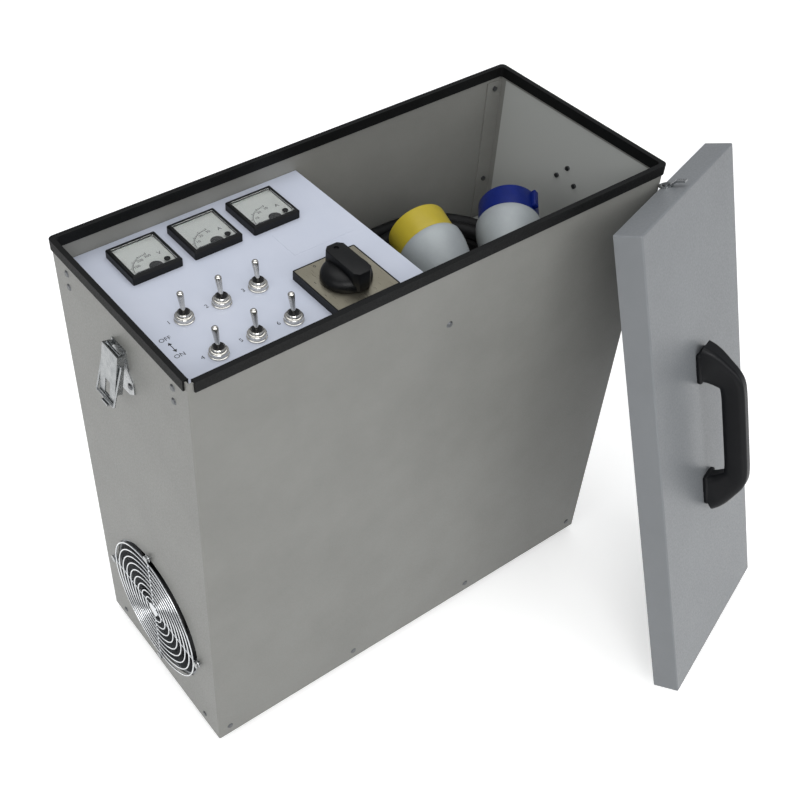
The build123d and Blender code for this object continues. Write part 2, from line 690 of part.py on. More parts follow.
def selector_knob():
    """Round skirt under a tapered bar grip that points to the back."""
    plane = Plane(origin=(SELECTOR_X, SELECTOR_Y, BEZEL_Z + 0.4), z_dir=(0, 0, 1))
    skirt = extrude(plane * Circle(SKIRT_RADIUS), amount=SKIRT_HEIGHT, taper=12)
    foot = plane.offset(SKIRT_HEIGHT / 2) * Rectangle(GRIP_WIDTH + 3, GRIP_LENGTH - 6)
    crest = plane.offset(KNOB_HEIGHT) * Rectangle(GRIP_WIDTH - 3, GRIP_LENGTH - 9)
    grip = loft(Sketch() + [foot, crest])
    bore = rod((SELECTOR_X, SELECTOR_Y, BEZEL_Z - 1), (SELECTOR_X, SELECTOR_Y, BEZEL_Z + 12),
               SHAFT_RADIUS)
    return skirt + grip - bore


def selector_shaft():
    """Shaft from the switch body up into the knob."""
    low = PANEL_Z - SHEET - 2 - 40 + 0.3
    return rod((SELECTOR_X, SELECTOR_Y, low), (SELECTOR_X, SELECTOR_Y, BEZEL_Z + 12), SHAFT_RADIUS)


def selector_body():
    """Stacked cam decks under the panel, bored for the shaft."""
    top = PANEL_Z - SHEET - 2
    size = 50.0
    body = None
    for i in range(3):
        high = top - i * 20
        deck = block(SELECTOR_X - size / 2, SELECTOR_X + size / 2, SELECTOR_Y - size / 2 + 2,
                     SELECTOR_Y + size / 2 - 2, high - 20, high)
        deck -= block(SELECTOR_X - size / 2 - 1, SELECTOR_X - size / 2 + 2, SELECTOR_Y - 40,
                      SELECTOR_Y + 40, high - 20, high - 17)
        body = deck if body is None else body + deck
    body += block(SELECTOR_X - 32, SELECTOR_X + 32, SELECTOR_Y - 24, SELECTOR_Y + 24, top, top + 2)
    bore = SHAFT_RADIUS + SHAFT_FIT
    return body - rod((SELECTOR_X, SELECTOR_Y, top - 40), (SELECTOR_X, SELECTOR_Y, top + 5), bore)


# ---- toggle latches ----
def latch_point(side, out, z):
    return (side * (HALF_L + out), 0, z)


def latch_base(side):
    """Base plate with two ears for the lever's pin, wider at the foot for its rivets."""
    outer = side * HALF_L
    face = Plane(origin=(outer, 0, LATCH_TOP_Z), x_dir=(0, 1, 0), z_dir=(side, 0, 0))
    down = -1 if face.y_dir.Z > 0 else 1
    half, foot = LATCH_WIDTH / 2, LATCH_FOOT_WIDTH / 2
    outline = Polyline((-half, 0), (half, 0), (half, down * 22), (foot, down * 30),
                       (foot, down * 42), (half - 2, down * LATCH_BASE_LENGTH),
                       (2 - half, down * LATCH_BASE_LENGTH), (-foot, down * 42),
                       (-foot, down * 30), (-half, down * 22), (-half, 0))
    plate = extrude(face * make_face(outline), amount=LATCH_SHEET)
    for edge_y in (-half, half):
        y0, y1 = sorted((edge_y, edge_y - math.copysign(LATCH_SHEET, edge_y)))
        pin_x = outer + side * LATCH_PIN_OUT
        x0, x1 = sorted((outer, pin_x))
        plate += block(x0, x1, y0, y1, LATCH_PIN_Z - EAR_NECK, LATCH_PIN_Z + EAR_NECK)
        plate += rod((pin_x, y0, LATCH_PIN_Z), (pin_x, y1, LATCH_PIN_Z), EAR_RADIUS)
    plate -= rod((pin_x, -30, LATCH_PIN_Z), (pin_x, 30, LATCH_PIN_Z), LATCH_PIN_RADIUS)
    for spot in latch_rivet_spots(side):
        plate -= rivet_hole(*spot)
    return plate


def latch_pins():
    """Riveted pins through the ears of the two bases."""
    reach = LATCH_WIDTH / 2 + LEVER_SIDE_PLAY + LATCH_SHEET + BAIL_SIDE_PLAY / 2
    solids = []
    for side in (-1, 1):
        x = side * (HALF_L + LATCH_PIN_OUT)
        solids.append(rod((x, -reach, LATCH_PIN_Z), (x, reach, LATCH_PIN_Z), LATCH_PIN_RADIUS))
    return Compound(children=solids)


def bail_pivot(side):
    """The bail's pivot in the lever, once the lever is swung to rest."""
    turn = math.radians(LEVER_OPEN)
    out = BAIL_OUT * math.cos(turn) + BAIL_DROP * math.sin(turn)
    down = BAIL_DROP * math.cos(turn) - BAIL_OUT * math.sin(turn)
    return latch_point(side, LATCH_PIN_OUT + out, LATCH_PIN_Z - down)


def swing(shape, side, centre, degrees):
    """Turns a shape's lower end away from the case about a cross axis through a point."""
    axis = Axis(centre, (0, -side, 0))
    return shape.rotate(axis, degrees)


def latch_lever(side):
    """Channel lever with a padlock slot and a lifted tip, hanging a little open."""
    outer = side * (HALF_L + LATCH_PIN_OUT)
    inner_half = LATCH_WIDTH / 2 + LEVER_SIDE_PLAY
    half = inner_half + LATCH_SHEET
    web_out = outer + side * LEVER_WEB_OUT
    z_top, z_low = LATCH_PIN_Z + 2.6, LATCH_PIN_Z - LEVER_REACH
    x0, x1 = sorted((web_out, web_out - side * LATCH_SHEET))
    lever = block(x0, x1, -half, half, z_low + 6, z_top)
    for cheek in (-1, 1):
        y0, y1 = sorted((cheek * half, cheek * inner_half))
        c0, c1 = sorted((web_out, outer - side * 2.5))
        lever += block(c0, c1, y0, y1, z_low + 14, z_top)
    tip = Plane(origin=(web_out, 0, z_low + 6), x_dir=(0, 1, 0), z_dir=(side, 0, 0))
    tip_sketch = tip.offset(-LATCH_SHEET) * (Rectangle(2 * half, 8) + Pos(0, 0) * Circle(7))
    lever += extrude(tip_sketch, amount=LATCH_SHEET)
    lip0, lip1 = sorted((web_out - side * LATCH_SHEET, web_out + side * 2.2))
    lever += block(lip0, lip1, -5, 5, z_low - 1, z_low + 0.4)
    slot = block(*sorted((web_out - side * 5, web_out + side * 5)), -4, 4, z_low + 8, z_low + 22)
    lever -= slot
    pin = LATCH_PIN_RADIUS + SHAFT_FIT
    lever -= rod((outer, -30, LATCH_PIN_Z), (outer, 30, LATCH_PIN_Z), pin)
    bail_x, bail_z = outer + side * BAIL_OUT, LATCH_PIN_Z - BAIL_DROP
    lever -= rod((bail_x, -30, bail_z), (bail_x, 30, bail_z), BAIL_WIRE + SHAFT_FIT)
    return swing(lever, side, latch_point(side, LATCH_PIN_OUT, LATCH_PIN_Z), LEVER_OPEN)


def latch_bail(side):
    """Wire bail whose ends turn in the lever's cheeks; it lies down over the lever."""
    x, _, z = latch_point(side, LATCH_PIN_OUT + BAIL_OUT, LATCH_PIN_Z - BAIL_DROP)
    inside = LATCH_WIDTH / 2 - 0.6
    cheek_y = LATCH_WIDTH / 2 + LEVER_SIDE_PLAY + LATCH_SHEET
    leg_y = cheek_y + BAIL_SIDE_PLAY + BAIL_WIRE
    low = z - BAIL_LENGTH
    out_x = side * (HALF_L + LATCH_PIN_OUT + LEVER_WEB_OUT + 0.4 + BAIL_WIRE)
    path = FilletPolyline((x, inside, z), (x, leg_y, z), (out_x, leg_y, low), (out_x, -leg_y, low),
                          (x, -leg_y, z), (x, -inside, z), radius=1.5 * BAIL_WIRE)
    section = Plane(origin=path @ 0, z_dir=path % 0) * Circle(BAIL_WIRE)
    bail = sweep(section, path=path)
    return swing(bail, side, latch_point(side, LATCH_PIN_OUT, LATCH_PIN_Z), LEVER_OPEN)


# ---- fan ----
def fan_screw_places():
    reach = FAN_SCREW_RADIUS
    places = [(reach, 0), (0, reach), (-reach, 0), (0, -reach)]
    return [(y, FAN_CENTRE_Z + z) for y, z in places]


def fan_guard():
    """Welded wire guard: concentric rings on four spokes that end in screw eyes."""
    plane = Plane(origin=(-HALF_L - GUARD_STANDOFF, 0, FAN_CENTRE_Z), z_dir=(-1, 0, 0))
    wire = GUARD_WIRE
    guard = extrude(plane * Circle(GUARD_RING_FIRST - 2), amount=wire)
    for i in range(GUARD_RINGS):
        radius = GUARD_RING_FIRST + i * GUARD_RING_STEP
        ring = Circle(radius + wire / 2) - Circle(radius - wire / 2)
        guard += extrude(plane * ring, amount=wire)
    for y, z in fan_screw_places():
        dy, dz = y / FAN_SCREW_RADIUS, (z - FAN_CENTRE_Z) / FAN_SCREW_RADIUS
        x0, x1 = -HALF_L - GUARD_STANDOFF, -HALF_L - GUARD_STANDOFF + wire
        reach = FAN_SCREW_RADIUS - 4.2
        y0, y1 = sorted((dy * 3 - abs(dz) * wire / 2, dy * reach + abs(dz) * wire / 2))
        z0, z1 = sorted((dz * 3 - abs(dy) * wire / 2, dz * reach + abs(dy) * wire / 2))
        guard += block(x0 - 0.2, x1, y0, y1, FAN_CENTRE_Z + z0, FAN_CENTRE_Z + z1)
        eye = rod((-HALF_L - GUARD_STANDOFF, y, z), (-HALF_L, y, z), 4.6)
        guard += eye - rod((-HALF_L - 9, y, z), (-HALF_L + 1, y, z), FAN_SCREW_HOLE)
    return guard


def fan_screws():
    """Pan-head screws through the guard's eyes, the wall and the fan's flange, with nuts."""
    solids = []
    for y, z in fan_screw_places():
        head = Plane(origin=(-HALF_L - GUARD_STANDOFF - 2.4, y, z), z_dir=(1, 0, 0))
        grip = GUARD_STANDOFF + SHEET + 4
        screw = disc_stack(head, [(4.0, 2.4), (FAN_SCREW_HOLE - HOLE_CLEARANCE, grip), (3.6, 3.2)])
        solids.append(screw)
    return Compound(children=solids)


def fan_frame():
    """Cast frame: round bore with flats, four screw ears, struts and the motor's stub shaft."""
    x0 = -INNER_L
    plane = Plane(origin=(x0, 0, FAN_CENTRE_Z), x_dir=(0, 1, 0), z_dir=(1, 0, 0))
    shell = extrude(plane * Circle(FAN_BORE + FAN_WALL), amount=FAN_DEPTH)
    flange = extrude(plane * Circle(FAN_OUTER), amount=4)
    far = extrude(plane.offset(FAN_DEPTH - 4) * Circle(FAN_OUTER - 4), amount=4)
    frame = shell + flange + far
    frame -= extrude(plane.offset(-1) * Circle(FAN_BORE), amount=FAN_DEPTH + 2)
    for y, z in fan_screw_places():
        frame -= rod((x0 - 1, y, z), (x0 + 6, y, z), FAN_SCREW_HOLE)
    motor_x = x0 + FAN_DEPTH - 10
    motor = rod((motor_x, 0, FAN_CENTRE_Z), (x0 + FAN_DEPTH, 0, FAN_CENTRE_Z), FAN_HUB - 2)
    for i in range(3):
        arm = block(motor_x + 5, motor_x + 10, -4, 4, FAN_CENTRE_Z + FAN_HUB - 8,
                    FAN_CENTRE_Z + FAN_BORE + 1)
        motor += arm.rotate(Axis((0, 0, FAN_CENTRE_Z), (1, 0, 0)), 30 + i * 120)
    stub = rod((x0 + FAN_STUB_START, 0, FAN_CENTRE_Z), (motor_x + 1, 0, FAN_CENTRE_Z), SHAFT_RADIUS)
    return frame + motor + stub


def fan_rotor():
    """Hub cup with pitched blades, turning on the stub shaft."""
    x0 = -INNER_L + 6
    hub_plane = Plane(origin=(x0, 0, FAN_CENTRE_Z), x_dir=(0, 1, 0), z_dir=(1, 0, 0))
    depth = FAN_DEPTH - 18
    hub = extrude(hub_plane * Circle(FAN_HUB), amount=depth)
    hub = fillet(hub.faces().sort_by(Axis.X)[0].edges(), 4)
    hub -= extrude(hub_plane.offset(6) * (Circle(FAN_HUB - 3) - Circle(SHAFT_RADIUS + 4)),
                   amount=depth)
    tip = FAN_BORE - FAN_TIP_GAP
    for i in range(FAN_BLADES):
        root = Plane(origin=(x0 + depth / 2, 0, FAN_CENTRE_Z + FAN_HUB - 1.5), x_dir=(1, 0, 0),
                     z_dir=(0, 0, 1))
        end = Plane(origin=(x0 + depth / 2, 0, FAN_CENTRE_Z + tip + 1), x_dir=(1, 0, 0),
                    z_dir=(0, 0, 1))
        blade = loft(Sketch() + [root * Rot(0, 0, 48) * Rectangle(38, 2.4),
                                 end * Rot(0, 0, 62) * Rectangle(52, 1.8)])
        hub += blade.rotate(Axis((0, 0, FAN_CENTRE_Z), (1, 0, 0)), i * 360 / FAN_BLADES)
    hub &= rod((x0 - 5, 0, FAN_CENTRE_Z), (x0 + 60, 0, FAN_CENTRE_Z), tip)
    bore_x = -INNER_L + FAN_STUB_START - 0.3
    bore = rod((bore_x, 0, FAN_CENTRE_Z), (x0 + 60, 0, FAN_CENTRE_Z), SHAFT_RADIUS + SHAFT_FIT)
    return hub - bore


# ---- cords, coils, glands and plugs ----
def gland_level(i):
    return COIL_LEVELS[i] + 3 * CABLE_RADIUS - LEAD_INSET


def lead_level(i):
    return COIL_LEVELS[i] + CABLE_RADIUS + LEAD_INSET


def lead_end(i, angle):
    """Where a coil's plug lead ends, and the way it points."""
    turn = math.radians(angle)
    away = Vector(math.sin(turn), -math.cos(turn), 0)
    touch = Vector(COIL_CENTRE[0] + LEAD_RADIUS * math.cos(turn),
                   COIL_CENTRE[1] + LEAD_RADIUS * math.sin(turn), lead_level(i))
    free = math.sqrt((COIL_RADIUS + 3 * CABLE_RADIUS) ** 2 - LEAD_RADIUS ** 2) + LEAD_CLEAR
    return touch, touch + away * free, away


def coil(i, angle):
    """Outer shape of a coiled cord, with the two leads that leave it."""
    x, y = COIL_CENTRE
    low = COIL_LEVELS[i]
    plane = Plane(origin=(x, y, low), z_dir=(0, 0, 1))
    band = Circle(COIL_RADIUS + COIL_WIDTH / 2) - Circle(COIL_RADIUS - COIL_WIDTH / 2)
    ring = extrude(plane * band, amount=COIL_HEIGHT)
    ring = chamfer(ring.edges().filter_by(GeomType.CIRCLE), CABLE_RADIUS * 0.6)
    touch, end, _ = lead_end(i, angle)
    ring += rod(touch, end, CABLE_RADIUS)
    gland_x = WELL_LEFT + GLAND_LENGTH
    ring += rod((x, GLAND_Y, gland_level(i)), (gland_x, GLAND_Y, gland_level(i)), CABLE_RADIUS)
    return ring


def plug_frame(plug):
    """A plane at the plug's mouth whose normal points out of the mouth."""
    place, azimuth, lift = plug
    a, e = math.radians(azimuth), math.radians(lift)
    out = Vector(math.cos(a) * math.cos(e), math.sin(a) * math.cos(e), math.sin(e))
    side = Vector(-math.sin(a), math.cos(a), 0)
    return Plane(origin=place, x_dir=side, z_dir=out)


def plug_cable_end(plug):
    frame = plug_frame(plug)
    return frame.origin - frame.z_dir * PLUG_LENGTH, frame.z_dir * -1


def plug_collar(plug):
    """Coloured sleeve round the pins, with its key rib and the plate that carries the pins."""
    back = plug_frame(plug).offset(-PLUG_COLLAR_LENGTH)
    sleeve = extrude(back * Circle(PLUG_COLLAR_RADIUS), amount=PLUG_COLLAR_LENGTH, taper=-1)
    inner = PLUG_COLLAR_RADIUS - PLUG_COLLAR_WALL
    sleeve -= extrude(back.offset(4) * Circle(inner), amount=PLUG_COLLAR_LENGTH)
    rib = Pos(0, PLUG_COLLAR_RADIUS + 1.0, 0) * Rectangle(9, 4)
    sleeve += extrude(back * rib, amount=PLUG_COLLAR_LENGTH - 1)
    return sleeve


def plug_housing(plug):
    """Moulded grey body, swelling behind the collar and tapering to the ribbed cord nut."""
    frame = plug_frame(plug)
    tail = frame.offset(-PLUG_LENGTH)
    nut_end = PLUG_NUT_LENGTH
    front = PLUG_LENGTH - PLUG_COLLAR_LENGTH
    radius = PLUG_COLLAR_RADIUS + 1
    line = [(0, nut_end), (PLUG_NUT_RADIUS + 4, nut_end)]
    side = Spline((PLUG_NUT_RADIUS + 4, nut_end), (radius - 1.5, nut_end + (front - nut_end) * 0.5),
                  (radius, front), tangents=[(0.5, 1), (0, 1)])
    outline = Polyline(*line) + side + Polyline((radius, front), (0, front), (0, nut_end))
    body = revolve(Plane.XZ * make_face(outline), Axis.Z)
    nut = Cylinder(PLUG_NUT_RADIUS, nut_end, align=(Align.CENTER, Align.CENTER, Align.MIN))
    nut = chamfer(nut.faces().sort_by(Axis.Z)[0].edges(), 2)
    for i in range(8):
        rib = Pos(PLUG_NUT_RADIUS, 0, nut_end / 2 + 2) * Box(2, 3, nut_end - 4)
        nut += rib.rotate(Axis.Z, i * 45)
    return (tail.location) * (body + nut)


def plug_pins():
    """Three pins in each collar."""
    solids = []
    for plug in (YELLOW_PLUG, BLUE_PLUG):
        seat = plug_frame(plug).offset(-PLUG_COLLAR_LENGTH + 4)
        for i in range(3):
            turn = math.radians(90 + i * 120)
            spot = Pos(PIN_CIRCLE * math.cos(turn), PIN_CIRCLE * math.sin(turn))
            solids.append(extrude(seat * spot * Circle(PIN_RADIUS), amount=PLUG_COLLAR_LENGTH - 8))
    return Compound(children=solids)


def cable_glands():
    """Cord grips in the divider: hexagon outside, domed nut, and a lock nut behind."""
    solids = []
    for i in range(2):
        z = gland_level(i)
        face = Plane(origin=(WELL_LEFT, GLAND_Y, z), z_dir=(1, 0, 0))
        corner = GLAND_RADIUS
        body = extrude(face * RegularPolygon(corner, 6), amount=6)
        body += disc_stack(face.offset(6), [(GLAND_RADIUS - 2, 8), (GLAND_RADIUS - 3.5, 8)])
        back = face.offset(-SHEET)
        body += extrude(back * Circle(CABLE_RADIUS + 1.5), amount=SHEET)
        body += extrude(back.offset(-5) * RegularPolygon(corner, 6), amount=5)
        solids.append(body)
    return Compound(children=solids)


def cord_path(points):
    """Straight runs joined by arcs as large as the runs allow; prints the radii."""
    points = [Vector(*p) for p in points]
    radii = []
    for a, b, c in zip(points, points[1:], points[2:]):
        turn = math.radians((b - a).get_angle(c - b))
        shorter = min((b - a).length, (c - b).length)
        radii.append(0.45 * shorter / math.tan(turn / 2))
    print("arc radii", [round(r, 1) for r in radii])
    path = FilletPolyline(*points, radius=radii)
    section = Plane(origin=path @ 0, z_dir=path % 0) * Circle(CABLE_RADIUS)
    tube = sweep(section, path=path)
    wanted = math.pi * CABLE_RADIUS ** 2 * path.length
    print("cord length", round(path.length, 1), "volume share", round(tube.volume / wanted, 4))
    return tube


def cable_110():
    """From the yellow plug down the front corner of the well to the lower coil."""
    start, away = plug_cable_end(YELLOW_PLUG)
    _, end, out = lead_end(0, YELLOW_LEAD_ANGLE)
    return cord_path([start, start + away * 10.5, (29.2, -99.7, 397.2), (22.4, -99.8, 378.3),
                      (35.1, -99.1, 355.9), (57.5, -97.3, 343.1), end + out * 13.6, end])


def cable_230():
    """From the blue plug down to the front of the well and round to the upper coil."""
    start, away = plug_cable_end(BLUE_PLUG)
    _, end, out = lead_end(1, BLUE_LEAD_ANGLE)
    return cord_path([start, start + away * 16.3, (85.9, -100.3, 400.9), (89.4, -98.9, 377.7),
                      (110.9, -100.2, 368.5), end + out * 19.3, end])


# ---- lid ----
def lid_axes():
    """Width, length and outward directions of the lid as it stands against the case."""
    yaw, lean, roll = (math.radians(v) for v in (LID_YAW, LID_LEAN, LID_ROLL))
    across = Vector(math.cos(yaw), math.sin(yaw), 0)
    to_case = Vector(-math.sin(yaw), math.cos(yaw), 0)
    up = Vector(0, 0, math.cos(lean)) + to_case * math.sin(lean)
    out = across.cross(up)
    turned = across * math.cos(roll) + up * math.sin(roll)
    upright = up * math.cos(roll) - across * math.sin(roll)
    return turned, upright, out


def lid_plane():
    """Plane at the middle of the lid's outer face: its low corner is on the floor, and the
    keeper on its upper end leans on the case's front right corner."""
    across, up, out = lid_axes()
    # Corner of the open edge, from the face's middle: sides are -1 or 1.
    def corner(side, end):
        return across * (side * LID_WIDTH / 2) + up * (end * LID_LENGTH / 2) - out * LID_DEPTH
    height = -corner(1, -1).Z
    edge = Vector(across.X, across.Y, 0).normalized()
    to_case = Vector(-edge.Y, edge.X, 0)
    touch = corner(-1, 1) + across * (LID_TOUCH_SHARE * LID_WIDTH)
    target = Vector(HALF_L, -HALF_W, 0) - to_case * (KEEPER_OVERHANG + LID_GAP)
    return Plane(origin=(target.X - touch.X, target.Y - touch.Y, height), x_dir=across, z_dir=out)


def place_on_lid(shape):
    return lid_plane().location * shape


def lid_shell():
    """Shallow folded lid with welded corners."""
    shell = Pos(0, 0, -LID_DEPTH / 2) * Box(LID_WIDTH, LID_LENGTH, LID_DEPTH)
    shell = fillet(shell.edges().filter_by(Axis.Z) + shell.faces().sort_by(Axis.Z)[-1].edges(), 1.6)
    shell -= Pos(0, 0, -LID_DEPTH / 2 - LID_SHEET) * Box(
        LID_WIDTH - 2 * LID_SHEET, LID_LENGTH - 2 * LID_SHEET, LID_DEPTH)
    for y in handle_screw_places():
        shell -= rod((0, y, -5), (0, y, 5), 2.6)
    for end in (-1, 1):
        shell -= rod((0, end * (LID_LENGTH / 2 - 5), keeper_rivet_z()),
                     (0, end * (LID_LENGTH / 2 + 5), keeper_rivet_z()), 2.1)
    return place_on_lid(shell)


def handle_screw_places():
    reach = HANDLE_LENGTH / 2 - HANDLE_FOOT / 2
    return [-reach, reach]


def keeper_rivet_z():
    return -LID_DEPTH + KEEPER_DISC - KEEPER_OVERHANG


def lid_handle():
    """Moulded bow handle: flat feet, sloping shoulders and a straight grip, faceted on top."""
    half, top, height = HANDLE_LENGTH / 2, HANDLE_TOP / 2, HANDLE_HEIGHT
    under = height - HANDLE_GRIP
    outline = Polyline((-half, 0), (-half, 8), (-top, height), (top, height), (half, 8), (half, 0),
                       (half - HANDLE_FOOT, 0), (half - HANDLE_FOOT, 5), (top - 4, under),
                       (4 - top, under), (HANDLE_FOOT - half, 5), (HANDLE_FOOT - half, 0),
                       (-half, 0))
    side = Plane(origin=(-HANDLE_WIDTH / 2, 0, 0), x_dir=(0, 1, 0), z_dir=(1, 0, 0))
    bow = extrude(side * make_face(outline), amount=HANDLE_WIDTH)
    grip_edges = bow.edges().filter_by(lambda e: abs(e.center().X) < 0.1)
    grip_edges = grip_edges.filter_by(lambda e: abs(e.center().Y) < half - 2 and e.center().Z > 6)
    bow = fillet(grip_edges, 9)
    rim = [e for e in bow.edges() if abs(abs(e.center().X) - HANDLE_WIDTH / 2) < 0.1
           and e.center().Z > 20 and abs(e.center().Y) < 60]
    bow = chamfer(rim, 4) if rim else bow
    for y in handle_screw_places():
        bow -= rod((0, y, -1), (0, y, 6), 2.0)
    return place_on_lid(bow)


def lid_keepers():
    """Stamped keepers on both ends: a riveted disc and a tongue that stands off the skirt."""
    solids = []
    for end in (-1, 1):
        face = end * LID_LENGTH / 2
        z = keeper_rivet_z()
        disc = rod((0, face, z), (0, face + end * KEEPER_SHEET, z), KEEPER_DISC)
        half = KEEPER_WIDTH / 2
        far = KEEPER_SHEET + KEEPER_STANDOFF
        rise = Plane(origin=(-half, face, z), x_dir=(0, end, 0), z_dir=(end, 0, 0))
        up = 1 if rise.y_dir.Z > 0 else -1
        tongue = Polyline((0, 0), (KEEPER_SHEET, 0), (KEEPER_SHEET, up * 4), (far, up * 10),
                          (far, up * 19), (far - KEEPER_SHEET, up * 19),
                          (far - KEEPER_SHEET, up * 10.6), (0, up * 4.6), (0, 0))
        blade = extrude(rise * make_face(tongue), amount=end * KEEPER_WIDTH)
        keeper = disc + blade
        keeper -= rod((0, face - end, z), (0, face + end * 9, z), 2.1)
        solids.append(place_on_lid(keeper))
    return Compound(children=solids)


def lid_fasteners():
    """Handle screws from inside the lid, and the keepers' rivets."""
    solids = []
    for y in handle_screw_places():
        plane = Plane(origin=(0, y, -LID_SHEET - 2.4), z_dir=(0, 0, 1))
        screw = disc_stack(plane, [(4.5, 2.4), (2.0, LID_SHEET + 5.5)])
        solids.append(place_on_lid(screw))
    for end in (-1, 1):
        origin = (0, end * (LID_LENGTH / 2 - LID_SHEET - 1.5), keeper_rivet_z())
        plane = Plane(origin=origin, z_dir=(0, end, 0))
        grip = LID_SHEET + KEEPER_SHEET
        solids.append(place_on_lid(disc_stack(plane, [(3.0, 1.5), (2.0, grip), (3.4, 1.0)])))
    return Compound(children=solids)


# ---- the whole ----
def nodes():
    made = {
        "case_wrap": case_wrap(),
        "base_tray": base_tray(),
        "feet": feet(),
        "case_fasteners": case_fasteners(),
        "rim_trim": rim_trim(),
        "control_panel": control_panel(),
        "panel_label": panel_label(),
        "panel_angle": panel_angle(),
        "storage_well": storage_well(),
        "duct_deck": duct_deck(),
        "outlet_grille": outlet_grille(),
        "element_rack": element_rack(),
        "heating_elements": heating_elements(),
        "terminal_block": terminal_block(),
        "thermal_cutout": thermal_cutout(),
        "meter_cases": meter_cases(),
        "meter_dials": meter_dials(),
        "meter_windows": meter_windows(),
        "switch_bodies": switch_bodies(),
        "switch_bushings": switch_bushings(),
        "switch_nuts": switch_nuts(),
        "selector_bezel": selector_bezel(),
        "selector_plate": selector_plate(),
        "selector_knob": selector_knob(),
        "selector_shaft": selector_shaft(),
        "selector_body": selector_body(),
        "latch_pins": latch_pins(),
        "fan_guard": fan_guard(),
        "fan_screws": fan_screws(),
        "fan_frame": fan_frame(),
        "fan_rotor": fan_rotor(),
        "coil_110": coil(0, YELLOW_LEAD_ANGLE),
        "coil_230": coil(1, BLUE_LEAD_ANGLE),
        "cable_110": cable_110(),
        "cable_230": cable_230(),
        "plug_collar_110": plug_collar(YELLOW_PLUG),
        "plug_collar_230": plug_collar(BLUE_PLUG),
        "plug_housing_110": plug_housing(YELLOW_PLUG),
        "plug_housing_230": plug_housing(BLUE_PLUG),
        "plug_pins": plug_pins(),
        "cable_glands": cable_glands(),
        "lid_shell": lid_shell(),
        "lid_handle": lid_handle(),
        "lid_keepers": lid_keepers(),
        "lid_fasteners": lid_fasteners(),
    }
    for i, x in enumerate(METER_XS, start=1):
        made[f"meter_pointer_{i}"] = meter_pointer(x)
    for i, (x, y) in enumerate(SWITCH_SPOTS, start=1):
        made[f"switch_lever_{i}"] = switch_lever(x, y)
    for name, side in (("left", -1), ("right", 1)):
        made[f"latch_base_{name}"] = latch_base(side)
        made[f"latch_lever_{name}"] = latch_lever(side)
        made[f"latch_bail_{name}"] = latch_bail(side)
    return made


os.makedirs("parts", exist_ok=True)
for node, shape in nodes().items():
    export_step(shape, f"parts/{node}.step")
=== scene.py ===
import math

import bpy
from mathutils import Matrix, Vector


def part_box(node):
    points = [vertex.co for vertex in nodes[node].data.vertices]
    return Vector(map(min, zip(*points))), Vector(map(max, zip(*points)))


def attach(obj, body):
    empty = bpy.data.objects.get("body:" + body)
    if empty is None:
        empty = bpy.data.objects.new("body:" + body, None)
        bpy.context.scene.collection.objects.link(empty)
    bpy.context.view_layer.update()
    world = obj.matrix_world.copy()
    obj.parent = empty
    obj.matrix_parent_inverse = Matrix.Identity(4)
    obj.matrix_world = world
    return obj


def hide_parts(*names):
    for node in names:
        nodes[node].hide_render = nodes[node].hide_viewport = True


# Generator load bank: a grey steel case with a control panel, a well for its coiled cords and
# plugs, a fan in its left end, and the lid stood against its right front corner.
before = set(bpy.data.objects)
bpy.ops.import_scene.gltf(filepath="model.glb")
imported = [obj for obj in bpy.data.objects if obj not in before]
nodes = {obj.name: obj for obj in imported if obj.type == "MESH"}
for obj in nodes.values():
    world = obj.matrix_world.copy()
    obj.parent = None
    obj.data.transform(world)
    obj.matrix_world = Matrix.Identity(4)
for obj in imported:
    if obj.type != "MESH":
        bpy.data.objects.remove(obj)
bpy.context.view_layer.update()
scene = bpy.context.scene
MM = 0.001
# The end wall of the wrap lines the well between these corners; there the wrap's coat is painted
# paler, as painted light.
WELL_LOW = (0.0, -99.0, 300.0)
WELL_HIGH = (249.8, 99.0, 494.5)

# ---- camera ----
camera_data = bpy.data.cameras.new("camera")
camera_data.sensor_width = 36.0
camera_data.lens = 53.6
camera_data.shift_x = 0.1109
camera_data.shift_y = 0.0728
camera = bpy.data.objects.new("camera", camera_data)
camera.location = (-0.5506, -0.6698, 1.0980)
camera.rotation_euler = [math.radians(a) for a in (43.3924, -0.5066, -35.7336)]
scene.collection.objects.link(camera)
scene.camera = camera
scene.view_settings.view_transform = "Standard"


# ---- materials ----
def linear(hex_colour):
    """An sRGB hex colour as linear RGBA."""
    values = []
    for i in (0, 2, 4):
        c = int(hex_colour[i:i + 2], 16) / 255
        values.append(c / 12.92 if c <= 0.04045 else ((c + 0.055) / 1.055) ** 2.4)
    return (*values, 1.0)


def node(tree, kind, settings=None, **links):
    """Adds a node, sets its properties and sockets, and links sockets given as outputs."""
    made = tree.nodes.new(kind)
    for name, value in (settings or {}).items():
        setattr(made, name, value)
    for name, value in links.items():
        socket = made.inputs[int(name[1:])] if name[0] == "i" and name[1:].isdigit() \
            else made.inputs[name.replace("_", " ")]
        if isinstance(value, bpy.types.NodeSocket):
            tree.links.new(value, socket)
        else:
            socket.default_value = value
    return made


def new_material(name, hex_colour, roughness=0.5, metallic=0.0, ior=None, transmission=0.0):
    """A plain finish, with its node tree and its shader."""
    material = bpy.data.materials.new(name)
    material.use_nodes = True
    tree = material.node_tree
    shader = tree.nodes["Principled BSDF"]
    shader.inputs["Base Color"].default_value = linear(hex_colour)
    shader.inputs["Roughness"].default_value = roughness
    shader.inputs["Metallic"].default_value = metallic
    if ior:
        shader.inputs["IOR"].default_value = ior
    shader.inputs["Transmission Weight"].default_value = transmission
    material.diffuse_color = linear(hex_colour)
    return material, tree, shader


